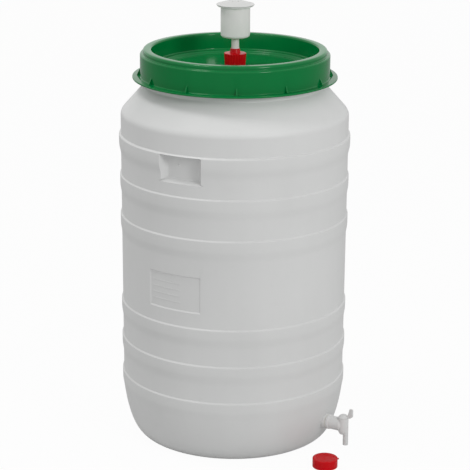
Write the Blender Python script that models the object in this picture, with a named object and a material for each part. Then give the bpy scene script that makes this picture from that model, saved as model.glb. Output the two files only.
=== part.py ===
"""Wide-neck fermenting barrel: moulded body, screw lid, airlock on a ribbed cap, tap and a spare blank cap.

Units are metres, +Z is up. The origin is on the barrel's axis, on the surface that it stands on.
The tap points along -Y, and the hand grips lie close to the X axis.
"""

import math

import bmesh
import bpy

# Fits shared by all pieces
FIT_GAP = 0.0003
CUT_MARGIN = 0.02
WELD = 0.000001
BIG_STEPS = 48
SMALL_STEPS = 24

# Barrel wall and base
BARREL_HEIGHT = 0.8534
BASE_RADIUS = 0.2007
BASE_WALL = 0.005
BASE_GROOVE_INNER = 0.150
BASE_GROOVE_WIDTH = 0.030
BASE_GROOVE_DEPTH = 0.0025
LOWER_CURVE_RUN = 0.0484
LOWER_CURVE_RISE = 0.1888
LOWER_CURVE_POINTS = 7
BARREL_WALL = 0.0036
WALL_SPREAD = 0.0018

# Raised bands, three low and three high, with a plain zone left between them
FIRST_BAND_Z = 0.1044
LOWER_BAND_HEIGHT = 0.0400
LOWER_VALLEY = 0.0422
UPPER_BAND_HEIGHT = 0.0430
UPPER_VALLEY = 0.0451
BANDS_PER_GROUP = 3
BAND_RISE = 0.0028
TOP_BAND_RISE = 0.0042
BAND_EDGE = 0.0026

# Shoulder and neck
TOP_WALL = 0.0461
SHOULDER_RISE = 0.0589
SHOULDER_FILLET = 0.020
NECK_RADIUS = 0.1935
NECK_WALL = 0.0045
NECK_HEIGHT = 0.0684

# Hand grips, pressed into the top band
GRIP_TURN = math.radians(4.2)
GRIP_WIDTH = 0.100
GRIP_DEPTH = 0.026
GRIP_ROOF_DROP = 0.0025
GRIP_HEIGHT = 0.059
GRIP_LEDGE = 0.022

# Lid and its thread
LID_WALL = 0.003
LID_THREAD_LEAD = 0.012
LID_THREAD_TURNS = 1.25
NECK_THREAD_DEPTH = 0.004
LID_THREAD_GAP = 0.0015
LID_SKIRT_GAP = 0.003
LID_THREAD_ROOT = 0.006
LID_THREAD_CREST = 0.003
LID_THREAD_LIFT = 0.026
LID_SKIRT_DEPTH = 0.059
LID_FLANGE_REACH = 0.0165
LID_FLANGE_THICK = 0.0035
RIM_FILLET = 0.003
RIM_CREST_GAP = 0.001
RIM_STEP_DROP = 0.0095
RIM_STEP_FILLET = 0.004
DISH_GAP = 0.007
DISH_DEPTH = 0.043
DISH_STEP_RISE = 0.006
DISH_STEP_WIDTH = 0.013
DISH_STEP_SLOPE = 0.004
GUSSET_COUNT = 12
GUSSET_TURN = math.radians(2.5)
GUSSET_REACH = 0.0065
GUSSET_RISE = 0.014
GUSSET_THICK = 0.003
LID_SEAL_THICK = 0.004
LID_SEAL_OVERHANG = 0.002

# Threaded nozzle in the middle of the lid, and the caps that fit it
NOZZLE_BORE = 0.0135
NOZZLE_WALL = 0.003
NOZZLE_HEIGHT = 0.0272
CAP_THREAD_LEAD = 0.006
CAP_THREAD_TURNS = 1.25
CAP_THREAD_DEPTH = 0.0018
CAP_THREAD_GAP = 0.0009
CAP_THREAD_ROOT = 0.0030
CAP_THREAD_CREST = 0.0014
CAP_THREAD_LIFT = 0.008
CAP_SEAL_THICK = 0.0025
CAP_SEAL_GAP = 0.0006
CAP_WALL = 0.003
CAP_TOP_RADIUS = 0.0238
CAP_BOTTOM_RADIUS = 0.0221
CAP_SKIRT_DEPTH = 0.025
CAP_EDGE = 0.0012
CAP_RIBS = 24
CAP_RIB_DEPTH = 0.0008
CAP_COLLAR_BASE = 0.0115
CAP_COLLAR_TOP = 0.0099
CAP_COLLAR_RISE = 0.0098

# Airlock
STEM_RADIUS = 0.0083
STEM_DIP = 0.015
STEM_BORE = 0.0050
AIRLOCK_STAND = 0.0243
AIRLOCK_HEIGHT = 0.0685
AIRLOCK_RADIUS = 0.0314
AIRLOCK_WALL = 0.002
AIRLOCK_FILLET = 0.005
AIRLOCK_LIP = 0.007
INNER_TUBE_HEIGHT = 0.041
INNER_TUBE_WALL = 0.0018
BELL_RADIUS = 0.0200
BELL_WALL = 0.0015
BELL_FILLET = 0.004
COVER_OVERHANG = 0.002
COVER_WALL = 0.0022
COVER_DOME = 0.0081
COVER_RIM = 0.0045
COVER_SKIRT = 0.007
COVER_SKIRT_GAP = 0.0007
COVER_SKIRT_WALL = 0.0015
COVER_VENTS = 6
COVER_VENT_RADIUS = 0.0020
COVER_VENT_CIRCLE = 0.012

# Tap
TAP_Z = 0.058
TAP_BOSS_RADIUS = 0.0165
TAP_BOSS_SEAT = 0.0035
TAP_SEAT_RADIUS = 0.0185
TAP_SEAT_DEPTH = 0.003
TAIL_RADIUS = 0.0103
TAIL_GAP = 0.0005
TAIL_END = 0.004
WASHER_THICK = 0.002
WASHER_MARGIN = 0.0006
NUT_FLATS = 0.031
NUT_THICK = 0.008
HUB_RADIUS = 0.0160
HUB_THICK = 0.006
PIPE_RADIUS = 0.0146
PIPE_LENGTH = 0.0313
PIPE_NOSE = 0.006
TAP_BORE = 0.0060
HOUSING_RADIUS = 0.0112
HOUSING_UP = 0.0170
HOUSING_DOWN = 0.0205
HOUSING_TAPER = 0.007
KEY_RADIUS = 0.0077
KEY_DEPTH = 0.0115
KEY_CHAMBER = 0.004
KEY_PORT = 0.0045
KEY_HEAD = 0.0060
KEY_HEAD_EDGE = 0.0012
KEY_CROWN = 0.0070
SPOUT_OFFSET = 0.0062
SPOUT_RADIUS = 0.0058
SPOUT_BORE = 0.0042
SPOUT_CLEAR = 0.013
O_RING_DROP = 0.0045
O_RING_WIDTH = 0.0016
O_RING_DEPTH = 0.0014
LEVER_REACH = 0.0232
LEVER_ROOT = 0.0165
LEVER_RISE = 0.0172
LEVER_ARM = 0.0038
LEVER_BLADE = 0.0080
LEVER_THICK = 0.0036
LEVER_CHAMFER = 0.0055

# Spare blank cap, lying in front of the barrel
BLANK_X = -0.0994
BLANK_Y = -0.2932
BLANK_RADIUS = 0.0270
BLANK_HEIGHT = 0.020
BLANK_DISH_DEPTH = 0.0025
BLANK_RIM = 0.0045
BLANK_SKIN = 0.0022
BLANK_GROOVE = 0.011
BLANK_EDGE = 0.0014
BLANK_LUG = 0.0026
BLANK_LUG_WIDTH = 0.004
BLANK_LUG_TURN = math.radians(-58.5)

# Colours and roughness
BODY_LOOK = ((0.80, 0.80, 0.79, 1.0), 0.42)
LID_LOOK = ((0.012, 0.16, 0.055, 1.0), 0.28)
RED_LOOK = ((0.62, 0.012, 0.012, 1.0), 0.35)
CLEAR_LOOK = ((0.78, 0.78, 0.76, 1.0), 0.30)
TAP_LOOK = ((0.76, 0.76, 0.74, 1.0), 0.40)
RUBBER_LOOK = ((0.05, 0.05, 0.05, 1.0), 0.70)
PALE_RUBBER_LOOK = ((0.72, 0.70, 0.62, 1.0), 0.65)

# Heights and radii that follow from the sizes above
NECK_TOP = BARREL_HEIGHT
NECK_ROOT_Z = NECK_TOP - NECK_HEIGHT
SHOULDER_Z = NECK_ROOT_Z - SHOULDER_RISE
TOP_BAND_TOP = SHOULDER_Z - TOP_WALL
UPPER_BANDS_Z = TOP_BAND_TOP + UPPER_VALLEY - BANDS_PER_GROUP * (UPPER_BAND_HEIGHT + UPPER_VALLEY)
NECK_INNER = NECK_RADIUS - NECK_WALL
NECK_THREAD_RADIUS = NECK_RADIUS + NECK_THREAD_DEPTH
LID_UNDER = NECK_TOP + LID_SEAL_THICK + 2 * FIT_GAP
LID_TOP = LID_UNDER + LID_WALL
LID_INNER = NECK_THREAD_RADIUS + LID_SKIRT_GAP
LID_OUTER = LID_INNER + LID_WALL
LID_BOTTOM = LID_UNDER - LID_SKIRT_DEPTH
DISH_OUTER = NECK_INNER - DISH_GAP
DISH_INNER = DISH_OUTER - LID_WALL
DISH_FLOOR = LID_TOP - DISH_DEPTH
NOZZLE_RADIUS = NOZZLE_BORE + NOZZLE_WALL
NOZZLE_TOP = DISH_FLOOR + NOZZLE_HEIGHT
CAP_INNER = NOZZLE_RADIUS + CAP_THREAD_DEPTH + CAP_THREAD_GAP
CAP_UNDER = NOZZLE_TOP + CAP_SEAL_THICK + 2 * FIT_GAP
CAP_TOP = CAP_UNDER + CAP_WALL
CAP_BOTTOM = CAP_UNDER - CAP_SKIRT_DEPTH
CAP_SEAL_RADIUS = CAP_INNER - CAP_SEAL_GAP
COLLAR_TOP = CAP_TOP + CAP_COLLAR_RISE
AIRLOCK_BOTTOM = COLLAR_TOP + AIRLOCK_STAND
AIRLOCK_TOP = AIRLOCK_BOTTOM + AIRLOCK_HEIGHT
AIRLOCK_FLOOR = AIRLOCK_BOTTOM + AIRLOCK_WALL
AIRLOCK_INNER = AIRLOCK_RADIUS - AIRLOCK_WALL
LIP_RADIUS = AIRLOCK_RADIUS + AIRLOCK_LIP
INNER_TUBE_TOP = AIRLOCK_FLOOR + INNER_TUBE_HEIGHT
COVER_RADIUS = LIP_RADIUS + COVER_OVERHANG
COVER_BASE = AIRLOCK_TOP + FIT_GAP
HOLE_RADIUS = TAIL_RADIUS + TAIL_GAP
KEY_BORE = KEY_RADIUS + FIT_GAP
HOUSING_TOP = TAP_Z + HOUSING_UP
HOUSING_BOTTOM = TAP_Z - HOUSING_DOWN
CHAMBER_BOTTOM = TAP_Z - KEY_DEPTH - KEY_CHAMBER


def clear_scene():
    """Remove every object of the open scene."""
    for old in list(bpy.data.objects):
        bpy.data.objects.remove(old, do_unlink=True)


def plain_material(name, look):
    """Return a Principled BSDF material with a colour and a roughness."""
    colour, roughness = look
    surface = bpy.data.materials.new(name)
    surface.use_nodes = True
    shader = surface.node_tree.nodes["Principled BSDF"]
    shader.inputs["Base Color"].default_value = colour
    shader.inputs["Roughness"].default_value = roughness
    shader.inputs["Metallic"].default_value = 0.0
    return surface


def add_object(name, shape, look=None):
    """Make an object from a bmesh. With no look it is a helper that is never rendered."""
    bmesh.ops.recalc_face_normals(shape, faces=shape.faces)
    mesh = bpy.data.meshes.new(name)
    shape.to_mesh(mesh)
    shape.free()
    mesh.shade_smooth()
    mesh.set_sharp_from_angle(angle=math.radians(35))
    item = bpy.data.objects.new(name, mesh)
    bpy.context.collection.objects.link(item)
    if look is None:
        item.hide_render = True
        item.display_type = "WIRE"
    else:
        mesh.materials.append(plain_material(name + "_plastic", look))
    return item


def turned(outline, steps, closed=True):
    """Turn an outline of (radius, height) points about Z. An open one starts and ends on the axis."""
    shape = bmesh.new()
    points = [shape.verts.new((radius, 0.0, height)) for radius, height in outline]
    pairs = list(zip(points, points[1:]))
    if closed:
        pairs.append((points[-1], points[0]))
    edges = [shape.edges.new(pair) for pair in pairs]
    bmesh.ops.spin(
        shape,
        geom=points + edges,
        axis=(0, 0, 1),
        cent=(0, 0, 0),
        angle=2 * math.pi,
        steps=steps,
        use_merge=True,
    )
    bmesh.ops.remove_doubles(shape, verts=shape.verts, dist=WELD)
    return shape


def sector(outline, half_angle, middle, steps):
    """Sweep a closed outline of (radius, height) points through an angle about Z, with flat ends."""
    shape = bmesh.new()
    rows = []
    for step in range(steps + 1):
        angle = middle + half_angle * (2 * step / steps - 1)
        rows.append(
            [shape.verts.new((r * math.cos(angle), r * math.sin(angle), z)) for r, z in outline]
        )
    join_rows(shape, rows)
    return shape


def join_rows(shape, rows):
    """Skin closed rows of points one to the next, and cap both ends."""
    size = len(rows[0])
    for low, high in zip(rows, rows[1:]):
        for k in range(size):
            after = (k + 1) % size
            shape.faces.new((low[k], low[after], high[after], high[k]))
    shape.faces.new(rows[0])
    shape.faces.new(reversed(rows[-1]))


def thread_ridge(name, root, crest, root_width, crest_width, lead, turns, start_z, steps):
    """Make a right-hand helical ridge whose root lies inside the wall that it grows from."""
    shape = bmesh.new()
    rows = []
    for step in range(round(turns * steps) + 1):
        angle = 2 * math.pi * step / steps
        middle = start_z + lead * step / steps
        section = (
            (root, middle - root_width / 2),
            (crest, middle - crest_width / 2),
            (crest, middle + crest_width / 2),
            (root, middle + root_width / 2),
        )
        rows.append([shape.verts.new((r * math.cos(angle), r * math.sin(angle), z)) for r, z in section])
    join_rows(shape, rows)
    return add_object(name, shape)


def rod(name, radius, low, high, steps=SMALL_STEPS):
    """Make a helper cylinder along Z."""
    return add_object(name, turned([(0, low), (radius, low), (radius, high), (0, high)], steps, closed=False))


def arc(middle_r, middle_z, radius, start, end, points):
    """Points of a round stretch, from one angle to another in degrees, 0 pointing outwards and 90 up."""
    found = []
    for step in range(points):
        angle = math.radians(start + (end - start) * step / (points - 1))
        found.append((middle_r + radius * math.cos(angle), middle_z + radius * math.sin(angle)))
    return found


def boolean(target, other, operation):
    """Join another shape to a target, or cut it away."""
    step = target.modifiers.new(operation.lower() + "_" + other.name, "BOOLEAN")
    step.object = other
    step.operation = operation
    step.solver = "EXACT"
    target.modifiers.new("triangles_" + other.name, "TRIANGULATE")


def weld(item):
    """Weld the points of a shape that fall together where its pieces meet."""
    step = item.modifiers.new("weld", "WELD")
    step.merge_threshold = WELD


def point_along_minus_y(*items):
    """Lay pieces that were turned about Z along the tap's axis, so that their height runs outwards."""
    for item in items:
        item.rotation_euler = (math.pi / 2, 0, 0)
        item.location = (0, 0, TAP_Z)


def ripple(shape, steps, depth, low, high, least_radius):
    """Press every other column of an outer skirt inwards, which leaves upright grip ribs."""
    for point in shape.verts:
        radius = math.hypot(point.co.x, point.co.y)
        if radius < least_radius or not low <= point.co.z <= high:
            continue
        column = round(math.atan2(point.co.y, point.co.x) / (2 * math.pi / steps))
        if column % 2:
            scale = (radius - depth) / radius
            point.co.x *= scale
            point.co.y *= scale


def wall_radius(height):
    """Outer radius of the barrel between its bands."""
    if height < FIRST_BAND_Z:
        lift = 1 - height / LOWER_CURVE_RISE
        return BASE_RADIUS + LOWER_CURVE_RUN * math.sqrt(1 - lift * lift)
    share = (height - FIRST_BAND_Z) / (SHOULDER_Z - FIRST_BAND_Z)
    lift = 1 - FIRST_BAND_Z / LOWER_CURVE_RISE
    return BASE_RADIUS + LOWER_CURVE_RUN * math.sqrt(1 - lift * lift) + WALL_SPREAD * share


def lower_curve(lowest, inset):
    """Points of the lower wall, from a lowest height up to the first band, moved in by an inset."""
    found = []
    start = math.asin(1 - lowest / LOWER_CURVE_RISE)
    end = math.asin(1 - FIRST_BAND_Z / LOWER_CURVE_RISE)
    for step in range(LOWER_CURVE_POINTS):
        angle = start + (end - start) * step / (LOWER_CURVE_POINTS - 1)
        radius = BASE_RADIUS + LOWER_CURVE_RUN * math.cos(angle)
        found.append((radius - inset, LOWER_CURVE_RISE * (1 - math.sin(angle))))
    return found


def bands():
    """Bottom, top and rise of each raised band, from the base upwards."""
    found = []
    for start, height, valley in (
        (FIRST_BAND_Z, LOWER_BAND_HEIGHT, LOWER_VALLEY),
        (UPPER_BANDS_Z, UPPER_BAND_HEIGHT, UPPER_VALLEY),
    ):
        for count in range(BANDS_PER_GROUP):
            low = start + count * (height + valley)
            found.append((low, low + height, BAND_RISE))
    low, high, _ = found[-1]
    found[-1] = (low, high, TOP_BAND_RISE)
    return found


def shoulder_points():
    """Rounded corner from the upright wall into the shoulder cone, then the foot of the neck."""
    wall = wall_radius(SHOULDER_Z)
    slope = math.atan2(SHOULDER_RISE, wall - NECK_RADIUS)
    turn = math.pi / 2 - slope
    reach = SHOULDER_FILLET * math.tan(turn / 2)
    corner = arc(wall - SHOULDER_FILLET, SHOULDER_Z - reach, SHOULDER_FILLET, 0, math.degrees(turn), 4)
    return corner + [(NECK_RADIUS, NECK_ROOT_Z)]


def barrel_outline():
    """Outer outline of the barrel, from the middle of the base up to the middle of the neck's top."""
    groove_end = BASE_GROOVE_INNER + BASE_GROOVE_WIDTH
    outline = [
        (0, 0),
        (BASE_GROOVE_INNER, 0),
        (BASE_GROOVE_INNER + BASE_GROOVE_DEPTH, BASE_GROOVE_DEPTH),
        (groove_end - BASE_GROOVE_DEPTH, BASE_GROOVE_DEPTH),
        (groove_end, 0),
    ]
    outline += lower_curve(0, 0)[:-1]
    for low, high, rise in bands():
        outline += [
            (wall_radius(low), low),
            (wall_radius(low) + rise, low + BAND_EDGE),
            (wall_radius(high) + rise, high - BAND_EDGE),
            (wall_radius(high), high),
        ]
    outline += shoulder_points()
    return outline + [(NECK_RADIUS, NECK_TOP), (0, NECK_TOP)]


def cavity_outline():
    """Inside of the barrel, open through the top of the neck."""
    return (
        [(0, BASE_WALL)]
        + lower_curve(BASE_WALL, BARREL_WALL)
        + [
            (wall_radius(SHOULDER_Z) - BARREL_WALL, SHOULDER_Z - BARREL_WALL / 2),
            (NECK_INNER, NECK_ROOT_Z - BARREL_WALL / 3),
            (NECK_INNER, NECK_TOP + CUT_MARGIN),
            (0, NECK_TOP + CUT_MARGIN),
        ]
    )


def tap_faces():
    """How far the outer and the inner flat face of the tap's boss lie from the barrel's axis."""
    outer = wall_radius(TAP_Z + TAP_BOSS_RADIUS) + TAP_BOSS_SEAT
    inner = wall_radius(TAP_Z - TAP_SEAT_RADIUS) - BARREL_WALL - TAP_SEAT_DEPTH
    return outer, inner


def grip_outlines():
    """Cut and inner pocket of a hand grip, as (radius, height) outlines."""
    face = wall_radius(TOP_BAND_TOP)
    roof = TOP_BAND_TOP - GRIP_ROOF_DROP
    floor = face - GRIP_DEPTH
    foot = roof - GRIP_HEIGHT
    outside = face + TOP_BAND_RISE + CUT_MARGIN
    ledge = foot + GRIP_LEDGE
    cut = [(outside, roof), (floor, roof), (floor + BARREL_WALL, ledge), (face, foot), (outside, foot)]
    pocket = [
        (outside, roof + BARREL_WALL),
        (floor - BARREL_WALL, roof + BARREL_WALL),
        (floor, ledge - BARREL_WALL),
        (face, foot - 2 * BARREL_WALL),
        (outside, foot - 2 * BARREL_WALL),
    ]
    return cut, pocket


def make_barrel():
    """The moulded body, with its hand grips, tap boss and neck thread."""
    body = add_object("barrel_body", turned(barrel_outline(), BIG_STEPS, closed=False), BODY_LOOK)
    cavity = add_object("barrel_cavity", turned(cavity_outline(), BIG_STEPS, closed=False))
    outer_face, inner_face = tap_faces()
    boss = rod("tap_boss", TAP_BOSS_RADIUS, (inner_face + outer_face) / 2 - BARREL_WALL, outer_face)
    seat = rod("tap_seat", TAP_SEAT_RADIUS, inner_face, outer_face)
    hole = rod("tap_hole", HOLE_RADIUS, inner_face - CUT_MARGIN, outer_face + CUT_MARGIN)
    point_along_minus_y(boss, seat, hole)
    cut, pocket = grip_outlines()
    half = GRIP_WIDTH / 2 / wall_radius(TOP_BAND_TOP)
    pocket_half = half + BARREL_WALL / wall_radius(TOP_BAND_TOP)
    boolean(body, boss, "UNION")
    boolean(body, neck_thread(), "UNION")
    boolean(cavity, seat, "DIFFERENCE")
    recesses = []
    for side, middle in (("near", math.pi + GRIP_TURN), ("far", GRIP_TURN)):
        pocket_block = add_object("grip_pocket_" + side, sector(pocket, pocket_half, middle, 4))
        boolean(cavity, pocket_block, "DIFFERENCE")
        recesses.append(add_object("grip_cut_" + side, sector(cut, half, middle, 4)))
    for recess in recesses:
        boolean(body, recess, "DIFFERENCE")
    boolean(cavity, hole, "UNION")
    weld(cavity)
    boolean(body, cavity, "DIFFERENCE")
    weld(body)


def neck_thread():
    """Outer thread of the neck."""
    return thread_ridge(
        "neck_thread",
        NECK_RADIUS - NECK_WALL / 3,
        NECK_THREAD_RADIUS,
        LID_THREAD_ROOT,
        LID_THREAD_CREST,
        LID_THREAD_LEAD,
        LID_THREAD_TURNS,
        LID_BOTTOM + LID_THREAD_LIFT,
        BIG_STEPS,
    )


def lid_outline():
    """Half section of the lid, with the nozzle in its middle."""
    flange = LID_OUTER + LID_FLANGE_REACH
    crest_inner = NECK_RADIUS + RIM_CREST_GAP
    crest = crest_inner + LID_WALL
    shoulder = LID_TOP - RIM_STEP_DROP
    step = DISH_FLOOR + DISH_STEP_RISE
    ring = DISH_INNER - DISH_STEP_WIDTH
    outline = [
        (NOZZLE_BORE, DISH_FLOOR - LID_WALL),
        (NOZZLE_BORE, NOZZLE_TOP),
        (NOZZLE_RADIUS, NOZZLE_TOP),
        (NOZZLE_RADIUS, DISH_FLOOR),
        (ring - DISH_STEP_SLOPE, DISH_FLOOR),
        (ring, step),
        (DISH_INNER, step),
    ]
    outline += arc(DISH_INNER + RIM_FILLET, LID_TOP - RIM_FILLET, RIM_FILLET, 180, 90, 4)
    outline += arc(crest - RIM_FILLET, LID_TOP - RIM_FILLET, RIM_FILLET, 90, 0, 4)
    outline.append((crest, shoulder))
    outline += arc(LID_OUTER - RIM_STEP_FILLET, shoulder - RIM_STEP_FILLET, RIM_STEP_FILLET, 90, 0, 4)
    outline += [
        (LID_OUTER, LID_BOTTOM + LID_FLANGE_THICK),
        (flange, LID_BOTTOM + LID_FLANGE_THICK),
        (flange, LID_BOTTOM),
        (LID_INNER, LID_BOTTOM),
        (LID_INNER, shoulder - LID_WALL),
        (crest_inner, shoulder - LID_WALL),
        (crest_inner, LID_UNDER),
        (DISH_OUTER, LID_UNDER),
        (DISH_OUTER, step - LID_WALL),
        (ring + LID_WALL / 2, step - LID_WALL),
        (ring + LID_WALL / 2 - DISH_STEP_SLOPE, DISH_FLOOR - LID_WALL),
    ]
    return outline


def make_lid():
    """The screw lid, with its gussets, its inner thread and the nozzle's outer thread."""
    lid = add_object("lid", turned(lid_outline(), BIG_STEPS), LID_LOOK)
    top = LID_BOTTOM + LID_FLANGE_THICK
    root = LID_OUTER - LID_WALL / 3
    wedge = [
        (root, top - LID_FLANGE_THICK / 3),
        (LID_OUTER + GUSSET_REACH, top - LID_FLANGE_THICK / 3),
        (LID_OUTER + GUSSET_REACH, top + GUSSET_THICK / 2),
        (root, top + GUSSET_RISE),
    ]
    for count in range(GUSSET_COUNT):
        angle = GUSSET_TURN + 2 * math.pi * count / GUSSET_COUNT
        half = GUSSET_THICK / 2 / LID_OUTER
        gusset = add_object("gusset_%02d" % count, sector(wedge, half, angle, 1))
        boolean(lid, gusset, "UNION")
    inner_ridge = thread_ridge(
        "lid_thread",
        LID_INNER + LID_WALL / 3,
        NECK_RADIUS + LID_THREAD_GAP,
        LID_THREAD_ROOT,
        LID_THREAD_CREST,
        LID_THREAD_LEAD,
        LID_THREAD_TURNS,
        LID_BOTTOM + LID_THREAD_LIFT - LID_THREAD_LEAD / 2,
        BIG_STEPS,
    )
    boolean(lid, inner_ridge, "UNION")
    outer_ridge = thread_ridge(
        "nozzle_thread",
        NOZZLE_RADIUS - NOZZLE_WALL / 3,
        NOZZLE_RADIUS + CAP_THREAD_DEPTH,
        CAP_THREAD_ROOT,
        CAP_THREAD_CREST,
        CAP_THREAD_LEAD,
        CAP_THREAD_TURNS,
        CAP_BOTTOM + CAP_THREAD_LIFT,
        SMALL_STEPS,
    )
    boolean(lid, outer_ridge, "UNION")
    lid_seal = [
        (NECK_INNER - LID_SEAL_OVERHANG, NECK_TOP + FIT_GAP),
        (NECK_RADIUS, NECK_TOP + FIT_GAP),
        (NECK_RADIUS, NECK_TOP + FIT_GAP + LID_SEAL_THICK),
        (NECK_INNER - LID_SEAL_OVERHANG, NECK_TOP + FIT_GAP + LID_SEAL_THICK),
    ]
    add_object("lid_seal", turned(lid_seal, BIG_STEPS), PALE_RUBBER_LOOK)


def cap_thread(name, start_z):
    """Inner thread of a cap that fits the nozzle."""
    return thread_ridge(
        name,
        CAP_INNER + CAP_THREAD_GAP,
        NOZZLE_RADIUS + CAP_THREAD_GAP,
        CAP_THREAD_ROOT,
        CAP_THREAD_CREST,
        CAP_THREAD_LEAD,
        CAP_THREAD_TURNS,
        start_z,
        SMALL_STEPS,
    )


def make_airlock_cap():
    """The ribbed cap that holds the airlock's stem, and its flat seal."""
    hole = STEM_RADIUS + FIT_GAP
    outline = [
        (hole, CAP_UNDER),
        (hole, COLLAR_TOP),
        (CAP_COLLAR_TOP, COLLAR_TOP),
        (CAP_COLLAR_BASE, CAP_TOP),
        (CAP_TOP_RADIUS - CAP_EDGE, CAP_TOP),
        (CAP_TOP_RADIUS, CAP_TOP - CAP_EDGE),
        (CAP_BOTTOM_RADIUS, CAP_BOTTOM),
        (CAP_INNER, CAP_BOTTOM),
        (CAP_INNER, CAP_UNDER),
    ]
    shape = turned(outline, 2 * CAP_RIBS)
    ribs_top = CAP_TOP - CAP_EDGE + WELD
    ripple(shape, 2 * CAP_RIBS, CAP_RIB_DEPTH, CAP_BOTTOM - WELD, ribs_top, CAP_INNER + CAP_EDGE)
    cap = add_object("airlock_cap", shape, RED_LOOK)
    thread_start = CAP_BOTTOM + CAP_THREAD_LIFT - CAP_THREAD_LEAD / 2
    boolean(cap, cap_thread("airlock_cap_thread", thread_start), "UNION")
    seal = [
        (hole, NOZZLE_TOP + FIT_GAP),
        (CAP_SEAL_RADIUS, NOZZLE_TOP + FIT_GAP),
        (CAP_SEAL_RADIUS, NOZZLE_TOP + FIT_GAP + CAP_SEAL_THICK),
        (hole, NOZZLE_TOP + FIT_GAP + CAP_SEAL_THICK),
    ]
    add_object("airlock_cap_seal", turned(seal, SMALL_STEPS), RUBBER_LOOK)


def make_airlock():
    """The airlock: a cup on a stem, a loose bell over its inner tube and a vented cover."""
    tube = STEM_BORE + INNER_TUBE_WALL
    stem_end = NOZZLE_TOP - STEM_DIP
    inner_fillet = AIRLOCK_FILLET - AIRLOCK_WALL
    vessel = [
        (STEM_BORE, stem_end),
        (STEM_BORE, INNER_TUBE_TOP),
        (tube, INNER_TUBE_TOP),
        (tube, AIRLOCK_FLOOR),
    ]
    vessel += arc(AIRLOCK_INNER - inner_fillet, AIRLOCK_FLOOR + inner_fillet, inner_fillet, 270, 360, 3)
    vessel += [
        (AIRLOCK_INNER, AIRLOCK_TOP),
        (LIP_RADIUS, AIRLOCK_TOP),
        (LIP_RADIUS, AIRLOCK_TOP - AIRLOCK_WALL),
        (AIRLOCK_RADIUS, AIRLOCK_TOP - AIRLOCK_WALL),
    ]
    vessel += arc(AIRLOCK_RADIUS - AIRLOCK_FILLET, AIRLOCK_BOTTOM + AIRLOCK_FILLET, AIRLOCK_FILLET, 0, -90, 4)
    vessel += [(STEM_RADIUS, AIRLOCK_BOTTOM), (STEM_RADIUS, stem_end)]
    add_object("airlock_vessel", turned(vessel, SMALL_STEPS), CLEAR_LOOK)

    bell_low = AIRLOCK_FLOOR + FIT_GAP
    ceiling = INNER_TUBE_TOP + BELL_WALL
    top = ceiling + BELL_WALL
    bell = [
        (0, ceiling),
        (BELL_RADIUS - BELL_FILLET, ceiling),
        (BELL_RADIUS - BELL_WALL, top - BELL_FILLET),
        (BELL_RADIUS - BELL_WALL, bell_low),
        (BELL_RADIUS, bell_low),
        (BELL_RADIUS, top - BELL_FILLET),
        (BELL_RADIUS - BELL_FILLET, top),
        (0, top),
    ]
    add_object("airlock_bell", turned(bell, SMALL_STEPS, closed=False), CLEAR_LOOK)
    make_cover()


def dome_points(base_radius, base_z, rise, points):
    """Points of a low round dome from its apex on the axis out to its base."""
    ball = (base_radius * base_radius + rise * rise) / (2 * rise)
    found = []
    for step in range(points):
        radius = base_radius * step / (points - 1)
        found.append((radius, base_z + math.sqrt(ball * ball - radius * radius) - (ball - rise)))
    return found


def make_cover():
    """The airlock's cover, resting on the cup's lip, with vent holes in its dome."""
    base = COVER_RADIUS - COVER_RIM
    skirt = AIRLOCK_INNER - COVER_SKIRT_GAP
    outer = dome_points(base, COVER_BASE + COVER_WALL, COVER_DOME, 5)
    inner = dome_points(skirt - COVER_SKIRT_WALL, COVER_BASE, COVER_DOME - COVER_WALL, 4)
    outline = inner + [
        (skirt - COVER_SKIRT_WALL, COVER_BASE - COVER_SKIRT),
        (skirt, COVER_BASE - COVER_SKIRT),
        (skirt, COVER_BASE),
        (COVER_RADIUS, COVER_BASE),
        (COVER_RADIUS, COVER_BASE + COVER_WALL),
    ]
    outline += list(reversed(outer))
    cover = add_object("airlock_cover", turned(outline, SMALL_STEPS, closed=False), CLEAR_LOOK)
    vent_end = COVER_BASE + COVER_DOME + CUT_MARGIN
    for count in range(COVER_VENTS):
        vent = rod("cover_vent_%d" % count, COVER_VENT_RADIUS, COVER_BASE, vent_end, 8)
        angle = 2 * math.pi * count / COVER_VENTS
        vent.location = (COVER_VENT_CIRCLE * math.cos(angle), COVER_VENT_CIRCLE * math.sin(angle), 0)
        boolean(cover, vent, "DIFFERENCE")


def washer(name, inner, outer, start, look):
    """A flat washer on the tap's axis."""
    end = start + WASHER_THICK
    outline = [(inner, start), (outer, start), (outer, end), (inner, end)]
    item = add_object(name, turned(outline, SMALL_STEPS), look)
    point_along_minus_y(item)


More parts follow.
